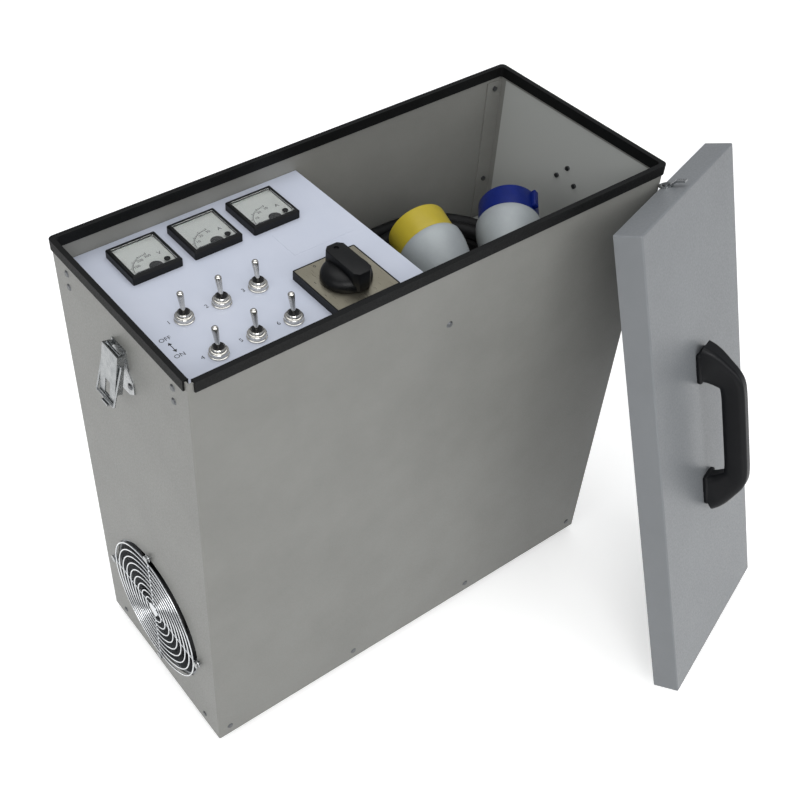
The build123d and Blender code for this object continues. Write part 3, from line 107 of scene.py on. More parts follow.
def surface(name, hex_colour, spread_hex, roughness, grain_mm, bump_mm, metallic=0.0, ior=None,
            patch_mm=60.0, roughness_spread=0.08, stretch=(1.0, 1.0, 1.0), specular=0.5):
    """A finish with soft patches of a second colour, and a fine grain in gloss and relief."""
    material, tree, shader = new_material(name, hex_colour, roughness, metallic, ior)
    shader.inputs["Specular IOR Level"].default_value = specular
    place = node(tree, "ShaderNodeTexCoord").outputs["Object"]
    shaped = node(tree, "ShaderNodeMapping", Vector=place, Scale=stretch).outputs["Vector"]
    patches = node(tree, "ShaderNodeTexNoise", Vector=place, Scale=1 / (patch_mm * MM), Detail=4.0,
                   Roughness=0.6)
    blend = node(tree, "ShaderNodeMapRange", Value=patches.outputs["Fac"], From_Min=0.35,
                 From_Max=0.7)
    colour = node(tree, "ShaderNodeMix", {"data_type": "RGBA"}, i0=blend.outputs["Result"])
    colour.inputs[6].default_value = linear(hex_colour)
    colour.inputs[7].default_value = linear(spread_hex)
    tree.links.new(colour.outputs[2], shader.inputs["Base Color"])
    grain = node(tree, "ShaderNodeTexNoise", Vector=shaped, Scale=1 / (grain_mm * MM), Detail=3.0,
                 Roughness=0.55)
    gloss = node(tree, "ShaderNodeMapRange", Value=grain.outputs["Fac"], From_Min=0.3, From_Max=0.7,
                 To_Min=max(0.03, roughness - roughness_spread), To_Max=roughness + roughness_spread)
    tree.links.new(gloss.outputs["Result"], shader.inputs["Roughness"])
    relief = node(tree, "ShaderNodeBump", Height=grain.outputs["Fac"], Strength=1.0,
                  Distance=bump_mm * MM)
    tree.links.new(relief.outputs["Normal"], shader.inputs["Normal"])
    return material


# Powder-coated steel: baked paint with a faint orange peel about 2 mm across, softly glossy.
case_paint = surface("powder_coat_grey", "7D7D79", "777773", 0.42, 1.8, 0.02, ior=1.5)
# The folded wrap has the same coat; on the end wall inside the well it is painted paler, as painted
# light where the well is lit brighter.
wrap_paint_painted_light_in_well = surface("powder_coat_wrap_painted_light_in_well", "7D7D79", "777773", 0.42, 1.8, 0.02, ior=1.5)
# The well's own box is the same coat painted paler, as pale as the faces around it: painted light
# where the well is lit brighter.
well_paint_painted_light = surface("powder_coat_well_painted_light", "9FA19E", "989A97", 0.42, 1.8, 0.02, ior=1.5)
# The lid's coat has weathered a little cooler, with broad dull patches where hands rub it.
lid_paint = surface("powder_coat_lid", "777A7D", "727578", 0.40, 1.8, 0.02, ior=1.5,
                    patch_mm=90.0, roughness_spread=0.10)
# Screen-printed polyester facing over the panel: very flat and smooth, nearly white.
label_film = surface("printed_polyester", "B9BECB", "B3B9C7", 0.38, 0.9, 0.004, ior=1.57,
                     patch_mm=80.0)
# Extruded EPDM edge trim and rubber feet: dull black with a greyish bloom.
epdm = surface("extruded_epdm", "050606", "0B0C0D", 0.62, 1.2, 0.03, ior=1.52, patch_mm=25.0,
               specular=0.18)
# Moulded phenolic and ABS: near black, fine spark-eroded grain.
moulded_black = surface("moulded_abs_black", "050608", "0A0B0D", 0.45, 0.8, 0.012, ior=1.53,
                        specular=0.22)
knob_plastic = surface("moulded_knob_black", "040506", "08090A", 0.40, 0.8, 0.008, ior=1.53,
                       specular=0.2)
handle_plastic = surface("glass_filled_nylon", "06070A", "0C0D10", 0.42, 0.9, 0.02, ior=1.53,
                         patch_mm=30.0, specular=0.2)
# Painted card of a meter dial: matt and even.
dial_card = surface("painted_dial", "E9EAE6", "E2E3DF", 0.55, 0.6, 0.002, ior=1.5)
pointer_paint = surface("pointer_enamel", "0C0C0E", "141416", 0.4, 0.6, 0.001, ior=1.5)
# Nickel-plated brass of the toggles: bright, with a soft cast.
nickel = surface("nickel_plate", "D2D0CA", "C2C0BB", 0.18, 0.7, 0.002, metallic=1.0, patch_mm=8.0,
                 roughness_spread=0.05)
# Bright chrome on the welded guard wires.
chrome = surface("chrome_plate", "D9DBDD", "CDD0D3", 0.12, 0.7, 0.002, metallic=1.0, patch_mm=15.0,
                 roughness_spread=0.05)
# Zinc plate on latches, rivets and screws: bright but slightly clouded.
zinc = surface("zinc_plate", "A6A8A9", "8B8E90", 0.27, 0.9, 0.004, metallic=1.0, patch_mm=7.0,
               roughness_spread=0.09)
# Rivets and screws have dulled to a dark grey.
dull_zinc = surface("zinc_dulled", "6E7072", "5C5E60", 0.42, 0.9, 0.004, metallic=1.0, patch_mm=7.0)
# Anodised aluminium plate under the selector: brushed along Y, pale bronze.
champagne = surface("brushed_anodised_bronze", "A39E8E", "999484", 0.34, 0.6, 0.003, metallic=1.0,
                    patch_mm=30.0, stretch=(1.0, 0.04, 1.0))
# Die-cast frame of the fan: dull and faintly grainy.
cast_metal = surface("die_cast_aluminium", "9A9DA0", "8A8D90", 0.5, 1.2, 0.03, metallic=1.0)
# Glazed ceramic formers of the heating elements: olive green and glossy.
vitreous = surface("vitreous_enamel", "5F6B52", "55604A", 0.35, 1.5, 0.02, ior=1.55)
# Injection-moulded polyamide of the plugs: satin, slightly soiled by handling.
plug_yellow = surface("moulded_polyamide_yellow", "AA992B", "A29127", 0.38, 1.0, 0.008, ior=1.53,
                      patch_mm=20.0, specular=0.3)
plug_blue = surface("moulded_polyamide_blue", "021A68", "021658", 0.36, 1.0, 0.008, ior=1.53,
                    patch_mm=20.0, specular=0.2)
plug_grey = surface("moulded_polyamide_grey", "969C9E", "8E9396", 0.42, 1.0, 0.01, ior=1.53,
                    patch_mm=24.0)
# Turned pins of the plugs: bright yellow metal.
brass = surface("turned_brass", "C4A560", "B3944F", 0.25, 0.6, 0.002, metallic=1.0, patch_mm=6.0)
# Rubber-sheathed cable: matt black with a fine grain and grey dust.
cable_rubber = surface("rubber_sheath", "060607", "101113", 0.58, 1.4, 0.04, ior=1.52, patch_mm=18.0,
                       specular=0.2)
# Cast acrylic of the meter windows: clear and glossy.
clear_cover = new_material("clear_acrylic", "F4F6F6", 0.05, ior=1.49, transmission=1.0)[0]
# Screen-printing ink: flat black.
ink = new_material("printing_ink_black", "15171B", 0.5, ior=1.5)[0]


def coloured_inside(material, hex_colour, low, high):
    """Gives a finish a second colour where it lies inside a box, by its corners in millimetres:
    painted light, a paler copy of the finish where more light falls.
    """
    tree = material.node_tree
    shader = tree.nodes["Principled BSDF"]
    first = shader.inputs["Base Color"].links[0].from_socket
    place = node(tree, "ShaderNodeTexCoord").outputs["Object"]
    parts = node(tree, "ShaderNodeSeparateXYZ", Vector=place)
    inside = 1.0
    for axis in range(3):
        for operation, bound in (("GREATER_THAN", low[axis]), ("LESS_THAN", high[axis])):
            test = node(tree, "ShaderNodeMath", {"operation": operation}, i0=parts.outputs[axis],
                        i1=bound * MM)
            inside = node(tree, "ShaderNodeMath", {"operation": "MULTIPLY"}, i0=inside,
                          i1=test.outputs[0]).outputs[0]
    colour = node(tree, "ShaderNodeMix", {"data_type": "RGBA"}, i0=inside)
    tree.links.new(first, colour.inputs[6])
    colour.inputs[7].default_value = linear(hex_colour)
    tree.links.new(colour.outputs[2], shader.inputs["Base Color"])


# Painted light: the wrap's end wall inside the well is painted paler, A8AAA7, standing in for the
# brighter light there.
coloured_inside(wrap_paint_painted_light_in_well, "A8AAA7", WELL_LOW, WELL_HIGH)


def paint(material, *names):
    """Gives CAD nodes their finish."""
    for name in names:
        data = nodes[name].data
        data.materials.clear()
        data.materials.append(material)


paint(wrap_paint_painted_light_in_well, "case_wrap")
paint(case_paint, "base_tray", "control_panel", "panel_angle", "duct_deck", "outlet_grille")
paint(well_paint_painted_light, "storage_well")
paint(lid_paint, "lid_shell")
paint(label_film, "panel_label")
paint(epdm, "rim_trim", "feet")
paint(moulded_black, "meter_cases", "selector_bezel", "fan_rotor", "thermal_cutout",
      "terminal_block", "switch_bodies", "selector_body")
paint(clear_cover, "meter_windows")
paint(nickel, "switch_bushings")
paint(champagne, "selector_plate")
paint(dull_zinc, "case_fasteners", "lid_fasteners")
paint(zinc, "selector_shaft", "latch_pins", "fan_screws",
      "element_rack", "lid_keepers", "latch_base_left", "latch_base_right", "latch_lever_left",
      "latch_lever_right", "latch_bail_left", "latch_bail_right")
paint(cast_metal, "fan_frame")
paint(vitreous, "heating_elements")


# ---- modelling helpers ----
def deselect():
    """Leaves edit mode and deselects every piece."""
    if bpy.context.object and bpy.context.object.mode != "OBJECT":
        bpy.ops.object.mode_set(mode="OBJECT")
    bpy.ops.object.select_all(action="DESELECT")


def pick(piece):
    """Selects one piece alone and makes it the active one."""
    deselect()
    piece.select_set(True)
    bpy.context.view_layer.objects.active = piece


def edit_all(piece):
    """Opens one piece in edit mode with its whole mesh selected."""
    pick(piece)
    bpy.ops.object.mode_set(mode="EDIT")
    bpy.ops.mesh.select_all(action="SELECT")


def turned(name, rings, segments=48):
    """A round piece about Z: a disc extruded from ring to ring of (radius, height) in mm."""
    deselect()
    radius, height = rings[0]
    bpy.ops.mesh.primitive_circle_add(vertices=segments, radius=radius * MM, fill_type="NGON",
                                      location=(0, 0, height * MM))
    piece = bpy.context.object
    piece.name = name
    edit_all(piece)
    for next_radius, next_height in rings[1:]:
        rise = (0, 0, (next_height - height) * MM)
        bpy.ops.mesh.extrude_region_move(TRANSFORM_OT_translate={"value": rise})
        grow = next_radius / radius
        bpy.ops.transform.resize(value=(grow, grow, 1))
        radius, height = next_radius, next_height
    bpy.ops.mesh.select_all(action="SELECT")
    bpy.ops.mesh.normals_make_consistent(inside=False)
    bpy.ops.object.mode_set(mode="OBJECT")
    return piece


def slab(name, size, centre, edge=0.0, segments=3):
    """A block with softened edges, by its size and centre in mm."""
    deselect()
    bpy.ops.mesh.primitive_cube_add(size=1, location=[v * MM for v in centre])
    piece = bpy.context.object
    piece.name = name
    piece.scale = [v * MM for v in size]
    bpy.ops.object.transform_apply(location=True, rotation=True, scale=True)
    if edge:
        edit_all(piece)
        bpy.ops.mesh.bevel(offset=edge * MM, segments=segments, affect="EDGES")
        bpy.ops.object.mode_set(mode="OBJECT")
    return piece


def put(piece, matrix):
    """Moves a piece and sinks the move into its mesh."""
    pick(piece)
    piece.matrix_world = matrix @ piece.matrix_world
    bpy.ops.object.transform_apply(location=True, rotation=True, scale=True)
    return piece


def fused(name, pieces):
    """Joins pieces of one moulding into one object."""
    deselect()
    for piece in pieces:
        piece.select_set(True)
    bpy.context.view_layer.objects.active = pieces[0]
    bpy.ops.object.join()
    pieces[0].name = name
    return pieces[0]


def finish(piece, body, material, slot, *replaced, angle=40):
    """Smooths a finished piece, gives it its material, and hands it to its body."""
    pick(piece)
    bpy.ops.object.shade_smooth_by_angle(angle=math.radians(angle))
    piece.data.materials.clear()
    piece.data.materials.append(material)
    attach(piece, body)
    if replaced:
        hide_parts(*replaced)
    return piece


def shifted(x, y, z):
    """A move, by its steps in mm."""
    return Matrix.Translation((x * MM, y * MM, z * MM))


def spun(degrees, axis):
    """A turn about an axis through the origin."""
    return Matrix.Rotation(math.radians(degrees), 4, axis)


def lettering(name, text, size, place):
    """A printed word or number lying flat, as thin as its ink."""
    curve = bpy.data.curves.new(name, "FONT")
    curve.body = text
    curve.size = size * MM
    curve.extrude = INK / 2 * MM
    curve.align_x = "CENTER"
    curve.align_y = "CENTER"
    word = bpy.data.objects.new(name, curve)
    scene.collection.objects.link(word)
    pick(word)
    bpy.ops.object.convert(target="MESH")
    return put(bpy.context.object, shifted(*place))


# ---- places shared with the case ----
LABEL_Z = 481.0
METER_XS = [-187.0 + i * 60.0 for i in range(3)]
METER_Y = 67.0
METER_TOP = LABEL_Z + 8.0
CARD_Z = METER_TOP - 2.6
# The pointer's pivot, from the middle of its meter.
PIVOT = (1.5, -18.2)
SWITCH_SPOTS = [(-199.0 + column * 35.6, -16.7 - row * 51.0) for row in range(2)
                for column in range(3)]
SWITCH_PIVOT_Z = LABEL_Z + 6.0
SELECTOR = (-66.7, -55.6)
BEZEL_Z = LABEL_Z + 8.0
HALF_L = 250.5
FAN_Z = 116.0
INK = 0.06


# ---- meters ----
MARK_Z = CARD_Z + 0.05
CARD_SIZE = 40.4
CARD_THICK = 2.8
SCALE_SPAN = 92.0
SCALE_RADIUS = 19.2
NUMBER_RADIUS = 16.0
MAIN_TICKS = 20
FINE_TICKS = 46
COVER_RADIUS = 6.0
COVER_FRONT = 2.2
SCALES = [("V", ("0", "100", "200", "300")), ("A", ("0", "10", "20", "30")),
          ("A", ("0", "10", "20", "30"))]


def tick(radius, degrees, length, width, centre):
    """A scale mark, at its angle from the pointer's zero."""
    mark = slab("tick", (length, width, INK), (-(radius + length / 2), 0, 0))
    return put(mark, shifted(*centre) @ spun(-degrees, "Z"))


def meter_scale(i, x, unit, numbers):
    """The printed arc of a dial: long and short marks over a fine line of dots, and numbers."""
    centre = (x + PIVOT[0], METER_Y + PIVOT[1], MARK_Z)
    marks = []
    for k in range(MAIN_TICKS + 1):
        length, width = (1.4, 0.35) if k % 5 else (2.4, 0.55)
        marks.append(tick(SCALE_RADIUS, SCALE_SPAN * k / MAIN_TICKS, length, width, centre))
    for k in range(FINE_TICKS):
        marks.append(tick(SCALE_RADIUS - 0.2, SCALE_SPAN * (k + 0.5) / FINE_TICKS, 0.3, 1.3, centre))
    for k, number in enumerate(numbers):
        angle = math.radians(SCALE_SPAN * k / (len(numbers) - 1))
        spot = (centre[0] - NUMBER_RADIUS * math.cos(angle),
                centre[1] + NUMBER_RADIUS * math.sin(angle), MARK_Z)
        marks.append(lettering("number", number, 4.2, spot))
    marks.append(lettering("unit", unit, 6.0, (x + 12.5, METER_Y - 4.0, MARK_Z)))
    finish(fused(f"meter_scale_{i}", marks), "case", ink, "pointer_black")


def meter_cover(i, x):
    """The round cover over the movement, cut off at the bezel, and the zero screw."""
    cover = turned("pivot_cover", [(COVER_RADIUS, 0), (COVER_RADIUS, 0.3), (5.7, 0.45)])
    edit_all(cover)
    bpy.ops.mesh.bisect(plane_co=(0, -COVER_FRONT * MM, 0), plane_no=(0, 1, 0), use_fill=True,
                        clear_inner=True)
    bpy.ops.object.mode_set(mode="OBJECT")
    put(cover, shifted(x + PIVOT[0], METER_Y + PIVOT[1], CARD_Z + 0.65))
    screw = turned("zero_screw", [(2.7, 0), (2.7, 0.7), (2.3, 1.0)], 32)
    put(screw, shifted(x + 13.0, METER_Y - 16.6, METER_TOP - 0.3))
    finish(fused(f"meter_cover_{i}", [cover, screw]), "case", moulded_black, "black_plastic")


def meter_pointer(i, x):
    """A flat blade on its hub, just over the card."""
    hub = turned("pointer_hub", [(2.2, 0.1), (2.2, 0.5)], 24)
    blade = slab("blade", (18.5, 1.5, 0.3), (-9.6, 0, 0.3))
    swing = put(fused(f"pointer_blade_{i}", [hub, blade]),
                shifted(x + PIVOT[0], METER_Y + PIVOT[1], CARD_Z))
    finish(swing, f"pointer_{i}", pointer_paint, "pointer_black", f"meter_pointer_{i}")


for i, (x, (unit, numbers)) in enumerate(zip(METER_XS, SCALES), start=1):
    meter_scale(i, x, unit, numbers)
    meter_cover(i, x)
    meter_pointer(i, x)
cards = [slab("card", (CARD_SIZE, CARD_SIZE, CARD_THICK), (x, METER_Y, CARD_Z - CARD_THICK / 2))
         for x in METER_XS]
finish(fused("meter_cards", cards), "case", dial_card, "dial_white", "meter_dials")


# ---- printing on the panel ----
PRINT_Z = LABEL_Z + 0.04
LETTER_SIZE = 6.2
# The double arrow stands between the words for off and on.
ARROW_X = -224.5
ARROW_Y = -40.3
ARROW_REACH = 4.4
# A number stands left of its switch and a little behind it.
NUMBER_PLACE = (-12.5, 3.5)


def arrow_head(name, y, degrees):
    """A flat triangle, with its point along Y before it is turned."""
    deselect()
    bpy.ops.mesh.primitive_circle_add(vertices=3, radius=2.2 * MM, fill_type="NGON",
                                      location=(0, 0, 0))
    head = bpy.context.object
    head.name = name
    edit_all(head)
    bpy.ops.mesh.extrude_region_move(TRANSFORM_OT_translate={"value": (0, 0, 0.05 * MM)})
    bpy.ops.mesh.select_all(action="SELECT")
    bpy.ops.mesh.normals_make_consistent(inside=False)
    bpy.ops.object.mode_set(mode="OBJECT")
    return put(head, shifted(ARROW_X, y, LABEL_Z) @ spun(degrees, "Z"))


printing = [lettering("off", "OFF", LETTER_SIZE, (ARROW_X, ARROW_Y + 11.3, PRINT_Z)),
            lettering("on", "ON", LETTER_SIZE, (ARROW_X, ARROW_Y - 11.3, PRINT_Z)),
            slab("arrow_shaft", (0.7, 9.5, INK), (ARROW_X, ARROW_Y, PRINT_Z)),
            arrow_head("arrow_to_off", ARROW_Y + ARROW_REACH, 0),
            arrow_head("arrow_to_on", ARROW_Y - ARROW_REACH, 180)]
for number, (x, y) in enumerate(SWITCH_SPOTS, start=1):
    spot = (x + NUMBER_PLACE[0], y + NUMBER_PLACE[1], PRINT_Z)
    printing.append(lettering("switch_number", str(number), LETTER_SIZE, spot))
finish(fused("panel_printing", printing), "case", ink, "pointer_black")
# A bare raised patch in the place of a rating label.
patch = slab("bare_rating_patch", (66.0, 34.0, 0.16), (-45.5, 18.0, LABEL_Z + 0.08), 0.05, 1)
finish(patch, "case", label_film, "label_white")


# ---- toggle switches ----
BAT = [(1.5, 0.5), (2.0, 4.0), (2.2, 9.0), (2.75, 15.0), (2.95, 17.2), (2.75, 18.5), (2.1, 19.4),
       (1.2, 19.9), (0.3, 20.0)]
DRESS_NUT = [(8.5, 0), (8.6, 0.4), (8.4, 1.1), (7.5, 1.5), (7.4, 2.2), (7.9, 2.5), (7.9, 4.6),
             (7.2, 5.4), (6.12, 5.6)]
BOOT = [(5.2, 0), (5.2, 0.3), (4.6, 0.5), (4.4, -0.9), (2.9, -1.4)]
BOOT_Z = LABEL_Z + 7.75
TILT = 12.5
nuts, boots = [], []
for number, (x, y) in enumerate(SWITCH_SPOTS, start=1):
    bat = turned(f"toggle_{number}", BAT, 32)
    put(bat, shifted(x, y, SWITCH_PIVOT_Z) @ spun(-TILT, "X"))
    finish(bat, f"switch_{number}", nickel, "nickel", f"switch_lever_{number}", angle=60)
    nuts.append(put(turned("nut", DRESS_NUT, 40), shifted(x, y, LABEL_Z)))
    boots.append(put(turned("boot", BOOT, 32), shifted(x, y, BOOT_Z)))
finish(fused("dress_nuts", nuts), "case", nickel, "nickel", "switch_nuts")
finish(fused("switch_boots", boots), "case", moulded_black, "black_plastic")


# ---- selector ----
DOME = [(21.9, 0.4), (22.0, 1.0), (22.0, 3.6), (21.0, 6.6), (18.8, 9.2), (15.0, 11.2), (8.0, 12.4),
        (1.0, 12.6)]
GRIP_SIZE = (18.5, 46.0, 18.3)
GRIP_FOOT = 0.5
GRIP_SHIFT = 1.5
GRIP_CORNER = 4.2
GRIP_EDGE = 0.7
INDEX_RADIUS = 2.3
INDEX_REACH = 16.5
INDEX_FLOOR = 17.6


def selector_grip():
    """A bar with cut corners and soft edges, and the index hollow near one end."""
    middle = SELECTOR[0] + GRIP_SHIFT
    grip = slab("selector_grip", GRIP_SIZE,
                (middle, SELECTOR[1], BEZEL_Z + GRIP_FOOT + GRIP_SIZE[2] / 2))
    pick(grip)
    bpy.ops.object.mode_set(mode="EDIT")
    bpy.ops.mesh.select_mode(type="EDGE")
    bpy.ops.mesh.select_all(action="DESELECT")
    bpy.ops.object.mode_set(mode="OBJECT")
    for edge in grip.data.edges:
        low, high = (grip.data.vertices[v].co for v in edge.vertices)
        edge.select = abs(low.z - high.z) > 10 * MM
    bpy.ops.object.mode_set(mode="EDIT")
    bpy.ops.mesh.bevel(offset=GRIP_CORNER * MM, segments=1, affect="EDGES")
    bpy.ops.mesh.select_all(action="SELECT")
    bpy.ops.mesh.bevel(offset=GRIP_EDGE * MM, segments=3, affect="EDGES")
    bpy.ops.object.mode_set(mode="OBJECT")
    hollow = turned("hollow", [(INDEX_RADIUS, 0), (INDEX_RADIUS, 6.0)], 32)
    put(hollow, shifted(middle, SELECTOR[1] + INDEX_REACH, BEZEL_Z + INDEX_FLOOR))
    cut = grip.modifiers.new("index_hollow", "BOOLEAN")
    cut.operation = "DIFFERENCE"
    cut.solver = "EXACT"
    cut.object = hollow
    pick(grip)
    bpy.ops.object.modifier_apply(modifier=cut.name)
    bpy.data.objects.remove(hollow)
    return grip


dome = put(turned("selector_dome", DOME, 64), shifted(*SELECTOR, BEZEL_Z))
finish(fused("selector_moulding", [dome, selector_grip()]), "selector", knob_plastic, "knob_black",
       "selector_knob")
marks = [lettering("mark", text, 4.6, (SELECTOR[0] + x, SELECTOR[1] + y, BEZEL_Z + 0.04))
         for text, x, y in (("1", -25.5, 8.0), ("0", -13.0, 26.5), ("2", 25.5, 8.0))]
finish(fused("selector_marks", marks), "case", ink, "pointer_black")


# ---- fan guard ----
WIRE = 1.6
SPOKE_RADIUS = 0.9
RING_COUNT = 10
RING_FIRST = 7.0
RING_PITCH = 7.6
EYE_REACH = 81.0
GUARD_OUT = 3.9


def wire_ring(radius, wire=WIRE):
    """A ring of round wire, flat about Z."""
    deselect()
    bpy.ops.mesh.primitive_torus_add(major_radius=radius * MM, minor_radius=wire / 2 * MM,
                                     major_segments=72, minor_segments=10)
    return bpy.context.object


wires = [wire_ring(RING_FIRST + RING_PITCH * i) for i in range(RING_COUNT)]
wires.append(turned("guard_boss", [(6.4, -0.8), (6.4, 0.6), (5.6, 1.0)], 32))
for quarter in range(4):
    turn = spun(90 * quarter, "Z")
    spoke = turned("spoke", [(SPOKE_RADIUS, 4.0), (SPOKE_RADIUS, 77.6)], 12)
    wires.append(put(spoke, turn @ shifted(0, 0, -SPOKE_RADIUS) @ spun(90, "X")))
    wires.append(put(wire_ring(3.3, 1.8), turn @ shifted(EYE_REACH, 0, -1.2)))
guard = put(fused("guard_wires", wires), shifted(-HALF_L - GUARD_OUT, 0, FAN_Z) @ spun(-90, "Y"))
finish(guard, "case", chrome, "nickel", "fan_guard")


# ---- plugs ----
BODY = [(11.5, 0), (13.6, 1.6), (14.4, 3.0), (14.4, 16.5), (15.6, 17.5), (15.8, 19.0), (18.5, 20.0),
        (21.5, 26.0), (25.5, 36.0), (28.6, 46.0), (30.6, 56.0), (31.3, 64.0), (31.2, 69.0),
        (30.2, 71.0), (28.0, 71.2)]
NECK_RIBS = 10
NECK_RADIUS = 14.4
SLEEVE = [(28.6, 70.6), (28.9, 96.0), (28.5, 97.0), (26.6, 97.0), (26.2, 96.0), (26.0, 74.0)]
PLUG_LENGTH = 97.0
KEY_REACH = 30.6
PIN = [(2.8, 73.5), (2.8, 91.0), (2.3, 92.6), (1.0, 93.2)]
PIN_CIRCLE = 14.0


def facing(mouth, azimuth, lift, length):
    """Stands a piece modelled along Z with its far end at the plug's mouth."""
    a, e = math.radians(azimuth), math.radians(lift)
    out = Vector((math.cos(a) * math.cos(e), math.sin(a) * math.cos(e), math.sin(e)))
    rear = Vector(mouth) - out * length
    return Matrix.Translation(rear * MM) @ out.to_track_quat("Z", "Y").to_matrix().to_4x4()


def plug(circuit, mouth, azimuth, lift, sleeve_material, sleeve_slot, key_way):
    """A ribbed body, a sleeve with its key on the side that faces key_way, and the pins."""
    stand = facing(mouth, azimuth, lift, PLUG_LENGTH)
    ribs = [turned("body", BODY, 64)]
    for i in range(NECK_RIBS):
        rib = slab("rib", (1.8, 3.0, 12.5), (NECK_RADIUS, 0, 9.8), 0.6, 2)
        ribs.append(put(rib, spun(360 / NECK_RIBS * i, "Z")))
    body = put(fused(f"plug_body_{circuit}", ribs), stand)
    finish(body, "case", plug_grey, "plug_grey", f"plug_housing_{circuit}")
    way = stand.to_3x3().inverted() @ Vector(key_way)
    key = put(slab("key", (5.0, 6.0, 20.0), (KEY_REACH, 0, 86.2), 0.9),
              spun(math.degrees(math.atan2(way.y, way.x)), "Z"))
    sleeve = put(fused(f"plug_sleeve_{circuit}", [turned("sleeve", SLEEVE, 64), key]), stand)
    finish(sleeve, "case", sleeve_material, sleeve_slot, f"plug_collar_{circuit}")
    pins = []
    for i in range(3):
        turn = math.radians(90 + 120 * i)
        spot = shifted(PIN_CIRCLE * math.cos(turn), PIN_CIRCLE * math.sin(turn), 0)
        pins.append(put(turned("pin", PIN, 24), stand @ spot))
    return [body, sleeve], pins


parts_110, pins_110 = plug("110", (68.5, 13.7, 442.1), 79.8, 12.0, plug_yellow, "plug_yellow",
                           (0.2, 0.3, -1.0))
parts_230, pins_230 = plug("230", (175.6, 2.6, 428.4), 49.7, 9.0, plug_blue, "plug_blue",
                           (0.57, -0.41, 0.7))
finish(fused("plug_pin_set", pins_110 + pins_230), "case", brass, "brass", "plug_pins")


# ---- cord glands ----
# Height of the upper and lower layer of turns in each coil; its gland is level with the upper one.
LAYERS = {"110": (354.6, 342.0), "230": (380.9, 368.3)}
GLAND = [(8.5, -6.5), (11.3, -6.5), (11.3, -1.6), (11.3, 0.0), (11.4, 0.2), (11.4, 5.6), (10.8, 6.2),
         (9.6, 6.4), (9.6, 12.0), (8.9, 14.2), (8.2, 15.0), (8.4, 22.0), (7.9, 34.0), (7.2, 50.0),
         (6.55, 51.0)]
GLAND_SPOT = (-1.5, 92.3)
glands = [put(turned("gland", GLAND, 12), shifted(*GLAND_SPOT, upper) @ spun(90, "Y"))
          for upper, lower in LAYERS.values()]
finish(fused("gland_set", glands), "case", moulded_black, "black_plastic", "cable_glands")


# ---- lid handle ----
LID_YAW = 21.84
LID_LEAN = 19.38
LID_ROLL = -6.31
LID_HALF_DEPTH = 13.0
HANDLE_UP = 4.0
FOOT_SPREAD = 70.0
BAR_HALF = (7.0, 12.0)
# Along the bow: place along the lid, height over it, and swell of the bar.
BOW = [(-74, 1.5, 1.7), (-72, 8, 1.6), (-66, 18, 1.25), (-56, 30, 1.0), (-44, 32.0, 0.95),
       (-20, 32.0, 0.95)]
BOW += [(-along, height, swell) for along, height, swell in reversed(BOW)]


def lid_place():
    """The middle of the lid's outer face: X across it, Y up along it, Z out of it."""
    yaw, lean, roll = (math.radians(v) for v in (LID_YAW, LID_LEAN, LID_ROLL))
    across = Vector((math.cos(yaw), math.sin(yaw), 0))
    to_case = Vector((-math.sin(yaw), math.cos(yaw), 0))
    up = Vector((0, 0, math.cos(lean))) + to_case * math.sin(lean)
    out = across.cross(up)
    wide = across * math.cos(roll) + up * math.sin(roll)
    tall = up * math.cos(roll) - across * math.sin(roll)
    low, high = (Vector(v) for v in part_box("lid_shell"))
    turn = Matrix((wide, tall, out)).transposed().to_4x4()
    half = Vector((0, 0, -LID_HALF_DEPTH * MM))
    return Matrix.Translation((low + high) / 2 - (turn @ half)) @ turn


def bar_section():
    """The rounded section of the bar, as a closed curve."""
    profile = bpy.data.curves.new("bar_section", "CURVE")
    profile.dimensions = "2D"
    spline = profile.splines.new("NURBS")
    wide, tall = BAR_HALF
    corners = [(wide, 0), (wide, tall), (0, tall), (-wide, tall), (-wide, 0), (-wide, -tall),
               (0, -tall), (wide, -tall)]
    spline.points.add(len(corners) - 1)
    for point, (a, b) in zip(spline.points, corners):
        point.co = (a * MM, b * MM, 0, 1)
    spline.use_cyclic_u = True
    spline.order_u = 3
    section = bpy.data.objects.new("bar_section", profile)
    scene.collection.objects.link(section)
    return section


def handle_bar():
    """The bow as one swept rounded bar that swells towards its feet."""
    section = bar_section()
    curve = bpy.data.curves.new("bow", "CURVE")
    curve.dimensions = "3D"
    curve.twist_mode = "Z_UP"
    curve.use_fill_caps = True
    curve.bevel_mode = "OBJECT"
    curve.bevel_object = section
    line = curve.splines.new("NURBS")
    line.points.add(len(BOW) - 1)
    for point, (along, height, swell) in zip(line.points, BOW):
        point.co = (0, along * MM, height * MM, 1)
        point.radius = swell
    line.order_u = 3
    line.use_endpoint_u = True
    bow = bpy.data.objects.new("bow", curve)
    scene.collection.objects.link(bow)
    pick(bow)
    bpy.ops.object.convert(target="MESH")
    bow = bpy.context.object
    bpy.data.objects.remove(section)
    return bow


feet = [slab("handle_foot", (24.0, 32.0, 5.6), (0, side * FOOT_SPREAD, 2.8), 2.2)
        for side in (-1, 1)]
handle = put(fused("handle_bow", [handle_bar()] + feet), lid_place() @ shifted(0, HANDLE_UP, 0))
finish(handle, "lid", handle_plastic, "black_plastic", "lid_handle", angle=50)


# ---- cords ----
CABLE_DIAMETER = 13.0
COIL_CENTRE = (106.0, 13.0)
LEAD_RADIUS = 79.3
INNER_TURN = 66.5
GLAND_FACE_X = 20.5
# How far from the coil's centre a lead leaves the winding for its plug.
LEAVING_REACH = 92.5


